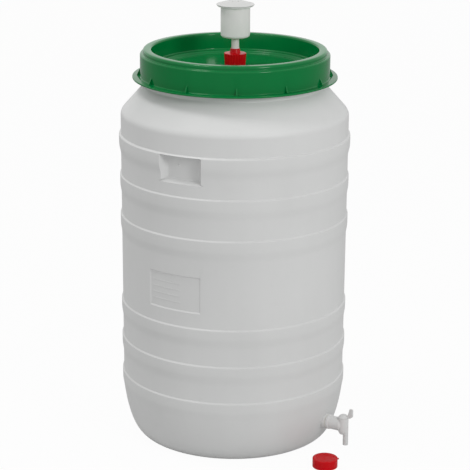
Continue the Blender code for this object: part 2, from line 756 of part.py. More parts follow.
def make_tap():
    """The tap's body, its washers and back nut on the barrel, and its turning key."""
    outer_face, inner_face = tap_faces()
    outer_start = outer_face + FIT_GAP
    washer("tap_outer_washer", HOLE_RADIUS, HUB_RADIUS - WASHER_MARGIN, outer_start, PALE_RUBBER_LOOK)
    inner_start = inner_face - FIT_GAP - WASHER_THICK
    washer("tap_inner_washer", HOLE_RADIUS, TAP_SEAT_RADIUS - WASHER_MARGIN, inner_start, PALE_RUBBER_LOOK)
    nut_top = inner_start - FIT_GAP
    nut_bottom = nut_top - NUT_THICK
    corner = NUT_FLATS / 2 / math.cos(math.pi / 6)
    nut = add_object(
        "tap_back_nut",
        turned([(0, nut_bottom), (corner, nut_bottom), (corner, nut_top), (0, nut_top)], 6, closed=False),
        TAP_LOOK,
    )
    nut_bore = rod("nut_bore", HOLE_RADIUS, nut_bottom - CUT_MARGIN, nut_top + CUT_MARGIN)
    point_along_minus_y(nut, nut_bore)
    boolean(nut, nut_bore, "DIFFERENCE")

    hub_start = outer_face + WASHER_THICK + 2 * FIT_GAP
    hub_end = hub_start + HUB_THICK
    axis = hub_end + PIPE_LENGTH
    tail_start = nut_bottom - TAIL_END
    pipe = [
        (0, tail_start),
        (TAIL_RADIUS, tail_start),
        (TAIL_RADIUS, hub_start),
        (HUB_RADIUS, hub_start),
        (HUB_RADIUS, hub_end - (HUB_RADIUS - PIPE_RADIUS)),
        (PIPE_RADIUS, hub_end),
        (PIPE_RADIUS, axis - PIPE_NOSE),
        (HOUSING_RADIUS - FIT_GAP, axis - FIT_GAP),
        (0, axis - FIT_GAP),
    ]
    body = add_object("tap_body", turned(pipe, SMALL_STEPS, closed=False), TAP_LOOK)
    bore = rod("tap_bore", TAP_BORE, tail_start - CUT_MARGIN, axis)
    point_along_minus_y(body, bore)
    housing = add_object(
        "tap_housing",
        turned(
            [
                (0, HOUSING_BOTTOM),
                (HOUSING_RADIUS - HOUSING_TAPER / 2, HOUSING_BOTTOM),
                (HOUSING_RADIUS, HOUSING_BOTTOM + HOUSING_TAPER),
                (HOUSING_RADIUS, HOUSING_TOP),
                (0, HOUSING_TOP),
            ],
            SMALL_STEPS,
            closed=False,
        ),
    )
    spout = rod("tap_spout", SPOUT_RADIUS, SPOUT_CLEAR, TAP_Z)
    spout_bore = rod("tap_spout_bore", SPOUT_BORE, SPOUT_CLEAR - CUT_MARGIN, CHAMBER_BOTTOM + KEY_CHAMBER / 2)
    key_bore = rod("tap_key_bore", KEY_BORE, CHAMBER_BOTTOM, HOUSING_TOP + CUT_MARGIN)
    housing.location = (0, -axis, 0)
    key_bore.location = (0, -axis, 0)
    spout.location = (0, -axis - SPOUT_OFFSET, 0)
    spout_bore.location = (0, -axis - SPOUT_OFFSET, 0)
    boolean(body, housing, "UNION")
    boolean(body, spout, "UNION")
    boolean(bore, key_bore, "UNION")
    boolean(bore, spout_bore, "UNION")
    boolean(body, bore, "DIFFERENCE")
    make_key(axis)


def make_key(axis):
    """The tap's key: an upright plug with an angled way through it, a sealing ring and a lever."""
    pivot = bpy.data.objects.new("tap_key_pivot", None)
    bpy.context.collection.objects.link(pivot)
    pivot.location = (0, -axis, 0)
    bottom = TAP_Z - KEY_DEPTH
    head = HOUSING_TOP + FIT_GAP
    top = head + KEY_HEAD
    ring = HOUSING_TOP - O_RING_DROP
    groove = KEY_RADIUS - O_RING_DEPTH
    plug = [
        (0, bottom),
        (KEY_RADIUS, bottom),
        (KEY_RADIUS, ring - O_RING_WIDTH),
        (groove, ring - O_RING_WIDTH),
        (groove, ring + FIT_GAP),
        (KEY_RADIUS, ring + FIT_GAP),
        (KEY_RADIUS, head),
        (HOUSING_RADIUS, head),
        (HOUSING_RADIUS, head + KEY_HEAD_EDGE),
        (KEY_CROWN, top),
        (0, top),
    ]
    key = add_object("tap_key", turned(plug, SMALL_STEPS, closed=False), TAP_LOOK)
    down_way = rod("key_down_way", KEY_PORT, bottom - CUT_MARGIN, TAP_Z, 16)
    side_way = rod("key_side_way", KEY_PORT, 0, KEY_RADIUS + CUT_MARGIN, 16)
    side_way.rotation_euler = (0, math.pi / 2, 0)
    side_way.location = (0, 0, TAP_Z)
    lever = lever_blade(head, top)
    o_ring = add_object(
        "tap_key_o_ring",
        turned(
            [
                (groove + FIT_GAP, ring - O_RING_WIDTH + FIT_GAP),
                (KEY_RADIUS, ring - O_RING_WIDTH + FIT_GAP),
                (KEY_RADIUS, ring),
                (groove + FIT_GAP, ring),
            ],
            SMALL_STEPS,
        ),
        RUBBER_LOOK,
    )
    for item in (key, down_way, side_way, lever, o_ring):
        item.parent = pivot
    boolean(key, lever, "UNION")
    boolean(key, side_way, "DIFFERENCE")
    boolean(key, down_way, "DIFFERENCE")


def lever_blade(head, top):
    """The key's lever: an arm on the head that rises outwards into a flat thumb blade."""
    low = head + KEY_HEAD_EDGE / 2
    high = low + LEVER_ARM
    peak = top + LEVER_RISE
    outline = [
        (0, low),
        (LEVER_ROOT, low),
        (LEVER_REACH, low + LEVER_CHAMFER),
        (LEVER_REACH, peak),
        (LEVER_REACH - LEVER_BLADE, peak),
        (LEVER_REACH - LEVER_BLADE - LEVER_CHAMFER, high),
        (0, high),
    ]
    shape = bmesh.new()
    rows = []
    for across in (-LEVER_THICK / 2, LEVER_THICK / 2):
        rows.append([shape.verts.new((across, -reach, height)) for reach, height in outline])
    join_rows(shape, rows)
    return add_object("key_lever", shape)


def make_blank_cap():
    """The spare closed cap, standing on its open end, with its flat seal inside."""
    under = BLANK_HEIGHT - BLANK_DISH_DEPTH - CAP_WALL
    dish = BLANK_HEIGHT - BLANK_DISH_DEPTH
    collar = CAP_INNER + BLANK_SKIN
    outline = [
        (0, under),
        (CAP_INNER, under),
        (CAP_INNER, 0),
        (collar, 0),
        (collar, BLANK_GROOVE),
        (BLANK_RADIUS - BLANK_SKIN, BLANK_GROOVE),
        (BLANK_RADIUS - BLANK_SKIN, 0),
        (BLANK_RADIUS, 0),
        (BLANK_RADIUS, BLANK_HEIGHT - BLANK_EDGE),
        (BLANK_RADIUS - BLANK_EDGE, BLANK_HEIGHT),
        (BLANK_RADIUS - BLANK_RIM, BLANK_HEIGHT),
        (BLANK_RADIUS - BLANK_RIM - BLANK_DISH_DEPTH, dish),
        (0, dish),
    ]
    crown = BLANK_HEIGHT - BLANK_EDGE
    cap = add_object("blank_cap", turned(outline, SMALL_STEPS, closed=False), RED_LOOK)
    middle_thread = cap_thread("blank_cap_thread", CAP_THREAD_ROOT)
    boolean(cap, middle_thread, "UNION")
    lug_outline = [
        (BLANK_RADIUS - BLANK_SKIN / 2, crown - BLANK_LUG),
        (BLANK_RADIUS + BLANK_LUG, crown - BLANK_LUG),
        (BLANK_RADIUS + BLANK_LUG, crown - BLANK_EDGE / 2),
        (BLANK_RADIUS - BLANK_SKIN / 2, crown - BLANK_EDGE / 2),
    ]
    lug_half = BLANK_LUG_WIDTH / 2 / BLANK_RADIUS
    lug = add_object("blank_cap_lug", sector(lug_outline, lug_half, BLANK_LUG_TURN, 1))
    boolean(cap, lug, "UNION")
    seal = [
        (NOZZLE_BORE - NOZZLE_WALL, under - FIT_GAP - CAP_SEAL_THICK),
        (CAP_SEAL_RADIUS, under - FIT_GAP - CAP_SEAL_THICK),
        (CAP_SEAL_RADIUS, under - FIT_GAP),
        (NOZZLE_BORE - NOZZLE_WALL, under - FIT_GAP),
    ]
    seal_ring = add_object("blank_cap_seal", turned(seal, SMALL_STEPS), RUBBER_LOOK)
    for item in (cap, middle_thread, lug, seal_ring):
        item.location = (BLANK_X, BLANK_Y, 0)


def main():
    """Build every piece in its place."""
    clear_scene()
    make_barrel()
    make_lid()
    make_airlock_cap()
    make_airlock()
    make_tap()
    make_blank_cap()


main()
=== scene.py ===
"""Looks of a wide-neck fermenting barrel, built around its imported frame.

Each sub-assembly is a class that builds its meshes by turning, sweeping and cutting outlines, and
dresses them with a moulded-plastic or rubber finish. Sizes are metres, +Z is up, the barrel's axis is
the Z axis and the tap points along -Y.
"""

import logging
import math
from dataclasses import dataclass, replace
from enum import Enum
from typing import Callable, Iterable, Sequence

import bmesh
import bpy
from mathutils import Matrix, Vector

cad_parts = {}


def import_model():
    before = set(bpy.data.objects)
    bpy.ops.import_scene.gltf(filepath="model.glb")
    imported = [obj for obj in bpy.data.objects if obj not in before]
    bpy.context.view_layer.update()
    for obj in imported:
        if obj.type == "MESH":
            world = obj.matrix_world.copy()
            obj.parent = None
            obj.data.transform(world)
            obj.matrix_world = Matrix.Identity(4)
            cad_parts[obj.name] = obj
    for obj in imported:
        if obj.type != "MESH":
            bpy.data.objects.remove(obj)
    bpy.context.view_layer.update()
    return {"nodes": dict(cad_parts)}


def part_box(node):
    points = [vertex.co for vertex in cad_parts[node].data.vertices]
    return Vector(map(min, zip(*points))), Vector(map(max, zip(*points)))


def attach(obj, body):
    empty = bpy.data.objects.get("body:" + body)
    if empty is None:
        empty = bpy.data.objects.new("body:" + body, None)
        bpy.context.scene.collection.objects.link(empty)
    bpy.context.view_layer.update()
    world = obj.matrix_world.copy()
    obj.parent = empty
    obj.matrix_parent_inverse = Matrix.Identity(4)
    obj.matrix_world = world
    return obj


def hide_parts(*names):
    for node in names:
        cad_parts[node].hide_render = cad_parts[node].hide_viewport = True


LOG = logging.getLogger("fermenting_barrel")

Point = tuple[float, float]
Corner = tuple[float, float, float]
Colour = tuple[float, float, float]
Item = bpy.types.Object
Tree = bpy.types.NodeTree
Socket = bpy.types.NodeSocket

WELD = 0.00001
SEED_SIZE = 0.01
CUT_MARGIN = 0.02
FIT_GAP = 0.0003
BIG_STEPS = 144
SMALL_STEPS = 72
ARC_POINTS = 5
FLUTE_COLUMNS = 6
MOST_OF_HALF = 0.48
STRAIGHT = math.radians(179.0)
SMOOTH_ANGLE = math.radians(26.0)
FLOW_FINER = 4.0
FLOW_WEIGHT = 0.4
SCUFF_FINER = 9.0
SCUFF_SHADE = 0.86
SCUFF_STOPS = (0.58, 0.74)
TONE_STOPS = (0.45, 0.95)
GLOSS_STOPS = (0.3, 0.8)
GLOSS_SPREAD = (0.9, 1.18)
GRAIN_STRENGTH = 0.35


class Joining(Enum):
    """How a second shape is combined with a first."""

    ADD = "UNION"
    CUT = "DIFFERENCE"


class Slot(Enum):
    """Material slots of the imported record."""

    BARREL = "barrel_plastic"
    LID = "lid_plastic"
    CAP = "cap_plastic"
    AIRLOCK = "airlock_plastic"
    TAP = "tap_plastic"
    PALE_RUBBER = "pale_rubber"
    SEAL_RUBBER = "seal_rubber"


def noise_node(tree: Tree, where: Socket, scale: float, detail: float) -> Socket:
    """Add a noise texture.

    Args:
        tree: node tree of a material.
        where: coordinates that the noise reads.
        scale: waves per metre.
        detail: octaves of finer noise.

    Returns:
        The noise's value.
    """
    node = tree.nodes.new("ShaderNodeTexNoise")
    node.inputs["Scale"].default_value = scale
    node.inputs["Detail"].default_value = detail
    tree.links.new(where, node.inputs["Vector"])
    return node.outputs["Fac"]


def math_node(tree: Tree, operation: str, *values: Socket | float) -> Socket:
    """Add a math node.

    Args:
        tree: node tree of a material or world.
        operation: Blender's name of the operation.
        values: its inputs in order, each a socket or a number.

    Returns:
        The result.
    """
    node = tree.nodes.new("ShaderNodeMath")
    node.operation = operation
    for value, socket in zip(values, node.inputs):
        if isinstance(value, Socket):
            tree.links.new(value, socket)
        else:
            socket.default_value = value
    return node.outputs["Value"]


def range_node(tree: Tree, value: Socket, source: Point, target: Point) -> Socket:
    """Map a value from one range to another.

    Args:
        tree: node tree of a material or world.
        value: what is mapped.
        source: lowest and highest value that comes in.
        target: what these two become.

    Returns:
        The mapped value.
    """
    node = tree.nodes.new("ShaderNodeMapRange")
    for name, limit in zip(("From Min", "From Max", "To Min", "To Max"), (*source, *target)):
        node.inputs[name].default_value = limit
    tree.links.new(value, node.inputs["Value"])
    return node.outputs["Result"]


@dataclass(frozen=True)
class Finish:
    """A moulded surface: its colour, and how far cloudiness, flow lines, scuffs and grain vary it.

    The tag tells two finishes of one slot apart.
    """

    slot: Slot
    colour: Colour
    roughness: float
    cloud_share: float
    cloud_scale: float
    grain_scale: float
    grain_depth: float
    scuff_share: float = 0.06
    flow_stretch: float = 0.12
    specular: float = 0.5
    tag: str = "finish"

    def material(self) -> bpy.types.Material:
        """Return the node material of this finish, made once and then shared."""
        name = f"{self.slot.value}_{self.tag}"
        made = bpy.data.materials.get(name)
        if made is None:
            made = bpy.data.materials.new(name)
            made.use_nodes = True
            self.wire(made.node_tree)
        return made

    def wire(self, tree: Tree) -> None:
        """Lay out the nodes of the finish.

        Args:
            tree: node tree of a new material, with its Principled BSDF.
        """
        nodes, links = tree.nodes, tree.links
        shader = nodes["Principled BSDF"]
        spot = nodes.new("ShaderNodeTexCoord").outputs["Object"]
        drawn_out = nodes.new("ShaderNodeMapping")
        drawn_out.inputs["Scale"].default_value = (1.0, 1.0, self.flow_stretch)
        links.new(spot, drawn_out.inputs["Vector"])
        clouds = noise_node(tree, spot, self.cloud_scale, detail=4.0)
        flow = noise_node(tree, drawn_out.outputs["Vector"], self.cloud_scale * FLOW_FINER, detail=3.0)
        grain = noise_node(tree, spot, self.grain_scale, detail=2.0)
        scuffs = noise_node(tree, spot, self.cloud_scale * SCUFF_FINER, detail=8.0)

        tone = nodes.new("ShaderNodeValToRGB")
        shares = (1.0 - self.cloud_share, 1.0 + self.cloud_share)
        for stop, position, share in zip(tone.color_ramp.elements, TONE_STOPS, shares):
            stop.position = position
            stop.color = self.shade(share)
        links.new(math_node(tree, "MULTIPLY_ADD", flow, FLOW_WEIGHT, clouds), tone.inputs["Fac"])
        worn = nodes.new("ShaderNodeMix")
        worn.data_type = "RGBA"
        worn.inputs["B"].default_value = self.shade(SCUFF_SHADE)
        links.new(range_node(tree, scuffs, SCUFF_STOPS, (0.0, self.scuff_share)), worn.inputs["Factor"])
        links.new(tone.outputs["Color"], worn.inputs["A"])
        links.new(worn.outputs["Result"], shader.inputs["Base Color"])

        least, most = (self.roughness * share for share in GLOSS_SPREAD)
        links.new(range_node(tree, scuffs, GLOSS_STOPS, (least, most)), shader.inputs["Roughness"])
        bump = nodes.new("ShaderNodeBump")
        bump.inputs["Strength"].default_value = GRAIN_STRENGTH
        bump.inputs["Distance"].default_value = self.grain_depth
        links.new(grain, bump.inputs["Height"])
        links.new(bump.outputs["Normal"], shader.inputs["Normal"])
        shader.inputs["Specular IOR Level"].default_value = self.specular

    def shade(self, share: float) -> tuple[float, float, float, float]:
        """Return the colour made darker or lighter by a share."""
        return tuple(min(1.0, part * share) for part in self.colour) + (1.0,)


BARREL_FINISH = Finish(Slot.BARREL, (0.715, 0.72, 0.715), 0.42, 0.025, 5.0, 900.0, 0.00010, 0.08, specular=0.25)
LID_FINISH = Finish(Slot.LID, (0.0006, 0.180, 0.042), 0.10, 0.06, 9.0, 1400.0, 0.00001, 0.06, specular=0.20)
CAP_FINISH = Finish(Slot.CAP, (0.60, 0.003, 0.007), 0.24, 0.06, 40.0, 2500.0, 0.00003, 0.08, specular=0.14)
AIRLOCK_FINISH = Finish(Slot.AIRLOCK, (0.90, 0.875, 0.87), 0.34, 0.02, 30.0, 1800.0, 0.00003, 0.05, specular=0.25)
# Painted shade: the cover is the cup's milky plastic, darkened so that its upward-facing top, lit by the top lamp,
# renders no brighter than the cup.
COVER_PAINTED_SHADE_FINISH = replace(AIRLOCK_FINISH, colour=(0.64, 0.645, 0.635), tag="cover")
TAP_FINISH = Finish(Slot.TAP, (0.76, 0.76, 0.755), 0.40, 0.03, 30.0, 2200.0, 0.00005, 0.06, specular=0.25)
PALE_RUBBER_FINISH = Finish(Slot.PALE_RUBBER, (0.70, 0.69, 0.64), 0.66, 0.05, 50.0, 3000.0, 0.00006, 0.12)
SEAL_RUBBER_FINISH = Finish(Slot.SEAL_RUBBER, (0.035, 0.035, 0.036), 0.70, 0.10, 60.0, 3000.0, 0.00006, 0.2)


def clear_selection() -> None:
    """Leave edit mode and deselect every object."""
    active = bpy.context.view_layer.objects.active
    if active is not None and active.mode != "OBJECT":
        bpy.ops.object.mode_set(mode="OBJECT")
    bpy.ops.object.select_all(action="DESELECT")


def pick(item: Item) -> None:
    """Make one object the active one and the only one that is selected."""
    clear_selection()
    item.select_set(True)
    bpy.context.view_layer.objects.active = item


def put(item: Item, where: Corner = (0.0, 0.0, 0.0), angles: Corner = (0.0, 0.0, 0.0)) -> Item:
    """Turn and move an object, and take its place and turn into its mesh.

    Args:
        item: object that is still at the origin.
        where: its new place.
        angles: turns about X, Y and Z, in radians.

    Returns:
        The same object.
    """
    item.location = where
    item.rotation_euler = angles
    pick(item)
    bpy.ops.object.transform_apply(location=True, rotation=True, scale=True)
    return item


def apply_modifier(item: Item, kind: str, **values: object) -> None:
    """Add a modifier to an object and apply it.

    Args:
        item: object to change.
        kind: Blender's name of the modifier.
        values: settings of the modifier.
    """
    step = item.modifiers.new(kind.lower(), kind)
    for name, value in values.items():
        setattr(step, name, value)
    pick(item)
    bpy.ops.object.modifier_apply(modifier=step.name)


def bevel(item: Item, width: float, steps: int, angle: float) -> None:
    """Round the edges of an object.

    Args:
        item: object to change.
        width: width of the rounding.
        steps: number of flats across it.
        angle: how far the faces at an edge have to turn, in radians.
    """
    apply_modifier(item, "BEVEL", width=width, segments=steps, limit_method="ANGLE", angle_limit=angle)


def combine(target: Item, tool: Item, how: Joining) -> None:
    """Join a shape to a target or cut it away, and remove the shape.

    Args:
        target: object that is kept.
        tool: closed shape that is used up.
        how: whether the tool is added or cut.
    """
    apply_modifier(target, "BOOLEAN", object=tool, operation=how.value, solver="EXACT")
    apply_modifier(target, "TRIANGULATE")
    bpy.data.objects.remove(tool, do_unlink=True)


def join(items: Sequence[Item]) -> Item:
    """Put the meshes of several objects into the first one.

    Args:
        items: objects that lie clear of each other.

    Returns:
        The first object.
    """
    pick(items[0])
    for item in items[1:]:
        item.select_set(True)
    bpy.ops.object.join()
    return items[0]


def copies_about_z(item: Item, angles: Iterable[float]) -> list[Item]:
    """Copy an object to several turns about the barrel's axis, and remove the original.

    Args:
        item: object at turn zero.
        angles: turn of each copy, in radians.

    Returns:
        The copies, each with its own mesh.
    """
    made = []
    for angle in angles:
        pick(item)
        bpy.ops.object.duplicate(linked=False)
        made.append(put(bpy.context.object, angles=(0, 0, angle)))
    bpy.data.objects.remove(item, do_unlink=True)
    return made


def rounded(corners: Sequence[Corner], closed: bool) -> list[Point]:
    """Round the corners of an outline.

    Args:
        corners: radius, height and rounding of each corner, in order.
        closed: whether the last corner leads back to the first.

    Returns:
        Points of the outline, with an arc at each rounded corner.
    """
    found: list[Point] = []
    count = len(corners)
    for index, (radius, height, size) in enumerate(corners):
        here = Vector((radius, height))
        if size <= 0 or (not closed and index in (0, count - 1)):
            found.append((radius, height))
            continue
        back = Vector(corners[index - 1][:2]) - here
        ahead = Vector(corners[(index + 1) % count][:2]) - here
        opening = back.angle(ahead)
        if opening > STRAIGHT:
            found.append((radius, height))
            continue
        slant = math.tan(opening / 2)
        reach = min(size / slant, MOST_OF_HALF * back.length, MOST_OF_HALF * ahead.length)
        middle = here + (back.normalized() + ahead.normalized()).normalized() * reach / math.cos(opening / 2)
        first = here + back.normalized() * reach - middle
        last = here + ahead.normalized() * reach - middle
        start = math.atan2(first.y, first.x)
        sweep = math.remainder(math.atan2(last.y, last.x) - start, 2 * math.pi)
        for step in range(ARC_POINTS + 1):
            angle = start + sweep * step / ARC_POINTS
            found.append((middle.x + first.length * math.cos(angle), middle.y + first.length * math.sin(angle)))
    return found


def trace(name: str, outline: Sequence[Point]) -> Item:
    """Draw an outline in the XZ plane by extruding one point along it.

    Args:
        name: name of the new object.
        outline: radius and height of each point.

    Returns:
        The object, left in edit mode.
    """
    clear_selection()
    bpy.ops.mesh.primitive_plane_add(size=SEED_SIZE, location=(0, 0, 0))
    item = bpy.context.object
    item.name = item.data.name = name
    bpy.ops.object.mode_set(mode="EDIT")
    bpy.ops.mesh.select_mode(type="VERT")
    bpy.ops.mesh.select_all(action="SELECT")
    bpy.ops.mesh.merge(type="CENTER")
    bpy.ops.transform.translate(value=(outline[0][0], 0, outline[0][1]))
    for here, there in zip(outline, outline[1:]):
        step = (there[0] - here[0], 0, there[1] - here[1])
        bpy.ops.mesh.extrude_region_move(TRANSFORM_OT_translate={"value": step})
    bpy.ops.mesh.select_all(action="SELECT")
    return item


def weld() -> None:
    """In edit mode, merge doubled points and point every face outwards."""
    bpy.ops.mesh.select_all(action="SELECT")
    bpy.ops.mesh.remove_doubles(threshold=WELD)
    bpy.ops.mesh.normals_make_consistent(inside=False)
    bpy.ops.object.mode_set(mode="OBJECT")


def turn(name: str, corners: Sequence[Corner], steps: int = SMALL_STEPS, closed: bool = False) -> Item:
    """Turn an outline about Z, as on a lathe.

    Args:
        name: name of the new object.
        corners: radius, height and rounding of each corner.
        steps: number of flats round the axis.
        closed: whether the outline is a loop. An open one starts and ends on the axis.

    Returns:
        The turned object.
    """
    outline = rounded(corners, closed)
    item = trace(name, [*outline, outline[0]] if closed else outline)
    bpy.ops.mesh.spin(steps=steps, angle=2 * math.pi, center=(0, 0, 0), axis=(0, 0, 1))
    weld()
    return item


def rod(name: str, radius: float, low: float, high: float, steps: int = SMALL_STEPS, soft: float = 0.0) -> Item:
    """Turn a plain rod about Z.

    Args:
        name: name of the new object.
        radius: its radius.
        low: height of its foot.
        high: height of its top.
        steps: number of flats round it.
        soft: rounding of its two edges.

    Returns:
        The rod.
    """
    return turn(name, [(0, low, 0), (radius, low, soft), (radius, high, soft), (0, high, 0)], steps)


def sweep(name: str, outline: Sequence[Point], middle: float, half: float, steps: int) -> Item:
    """Sweep a closed outline part of the way round Z, with flat ends.

    Args:
        name: name of the new object.
        outline: radius and height of each point.
        middle: direction of the sweep's middle, in radians from +X.
        half: half of its angle, in radians.
        steps: number of flats along it.

    Returns:
        The swept object.
    """
    item = trace(name, [*outline, outline[0]])
    bpy.ops.mesh.remove_doubles(threshold=WELD)
    bpy.ops.mesh.select_all(action="SELECT")
    bpy.ops.mesh.spin(steps=steps, angle=2 * half, center=(0, 0, 0), axis=(0, 0, 1))
    bpy.ops.mesh.select_all(action="SELECT")
    bpy.ops.mesh.fill_holes(sides=0)
    weld()
    total = sum((point.co for point in item.data.vertices), Vector())
    return put(item, angles=(0, 0, middle - math.atan2(total.y, total.x)))


def slope_ends(item: Item, middle: float, half: float, below: float, shift: float) -> None:
    """Slope the end walls of a swept block, by moving its inner points there towards its middle.

    Args:
        item: block made by sweep.
        middle: direction of the sweep's middle, in radians from +X.
        half: half of its angle, in radians.
        below: radius under which points move.
        shift: how far they move.
    """
    for side in (-1, 1):
        angle = middle + side * half
        out = Vector((math.cos(angle), math.sin(angle), 0))

        def at_end(point: Vector, out: Vector = out) -> bool:
            """Tell whether a point lies on this end wall, on its inner side."""
            along = point.dot(out)
            return 0 < along < below and (point.xy - along * out.xy).length < FIT_GAP

        select_points(item, at_end)
        bpy.ops.transform.translate(value=Vector((out.y, -out.x, 0)) * side * shift)
        bpy.ops.object.mode_set(mode="OBJECT")


@dataclass(frozen=True)
class ThreadForm:
    """A right-hand helical ridge, as the two pieces that it joins share it."""

    root_width: float
    crest_width: float
    lead: float
    turns: float

    def wind(self, name: str, root: float, crest: float, start: float, steps: int) -> Item:
        """Wind the ridge on a wall.

        Args:
            name: name of the new object.
            root: radius of its root, inside the wall.
            crest: radius of its crest.
            start: height of its lower end.
            steps: number of flats in one turn.

        Returns:
            The closed ridge.
        """
        wide, narrow = self.root_width / 2, self.crest_width / 2
        section = [(root, start - wide), (crest, start - narrow), (crest, start + narrow), (root, start + wide)]
        item = trace(name, [*section, section[0]])
        weld()
        flats = round(steps * self.turns)
        apply_modifier(
            item,
            "SCREW",
            angle=2 * math.pi * self.turns,
            screw_offset=self.lead * self.turns,
            steps=flats,
            render_steps=flats,
            merge_threshold=WELD,
        )
        bpy.ops.object.mode_set(mode="EDIT")
        bpy.ops.mesh.select_all(action="SELECT")
        bpy.ops.mesh.fill_holes(sides=0)
        weld()
        return item


NECK_THREAD = ThreadForm(0.006, 0.003, 0.012, 1.25)
CAP_THREAD = ThreadForm(0.0030, 0.0014, 0.006, 1.25)


def flute(item: Item, ribs: int, depth: float, zone: tuple[float, float], least: float) -> None:
    """Press shallow upright flutes into a round skirt, which leaves grip ribs between them.

    Args:
        item: turned object with FLUTE_COLUMNS flats for each rib.
        ribs: number of ribs.
        depth: depth of a flute.
        zone: lowest and highest point that is pressed.
        least: radius from which points belong to the skirt.
    """
    columns = ribs * FLUTE_COLUMNS
    for level in range(1, FLUTE_COLUMNS // 2 + 1):

        def in_level(point: Vector, level: int = level) -> bool:
            """Tell whether a point of the skirt lies this far from its rib's crest."""
            if math.hypot(point.x, point.y) < least or not zone[0] <= point.z <= zone[1]:
                return False
            column = round(math.atan2(point.y, point.x) / (2 * math.pi / columns)) % FLUTE_COLUMNS
            return min(column, FLUTE_COLUMNS - column) == level

        select_points(item, in_level)
        press = depth * math.sin(math.pi * level / FLUTE_COLUMNS) ** 2
        scale = 1 - press / least
        bpy.ops.transform.resize(value=(scale, scale, 1), center_override=(0, 0, 0))
        bpy.ops.object.mode_set(mode="OBJECT")


def select_points(item: Item, test: Callable[[Vector], bool]) -> None:
    """Enter edit mode and select the points that pass a test.

    Args:
        item: object to edit.
        test: what a point's place has to satisfy.
    """
    pick(item)
    bpy.ops.object.mode_set(mode="EDIT")
    bpy.ops.mesh.select_mode(type="VERT")
    bpy.ops.mesh.select_all(action="DESELECT")
    shape = bmesh.from_edit_mesh(item.data)
    for point in shape.verts:
        point.select = test(point.co)
    shape.select_flush(True)
    bmesh.update_edit_mesh(item.data)


def place(item: Item, body: str, finish: Finish, *nodes: str) -> None:
    """Shade a finished piece, give it its finish, and let it ride on its body.

    Args:
        item: finished piece, at the origin.
        body: body of the frame that carries it.
        finish: its surface.
        nodes: frame nodes that it stands for.
    """
    pick(item)
    bpy.ops.object.shade_smooth_by_angle(angle=SMOOTH_ANGLE)
    item.data.materials.clear()
    item.data.materials.append(finish.material())
    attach(item, body)
    if nodes:
        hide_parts(*nodes)
    LOG.info("%s rides on %s with %d faces", item.name, body, len(item.data.polygons))


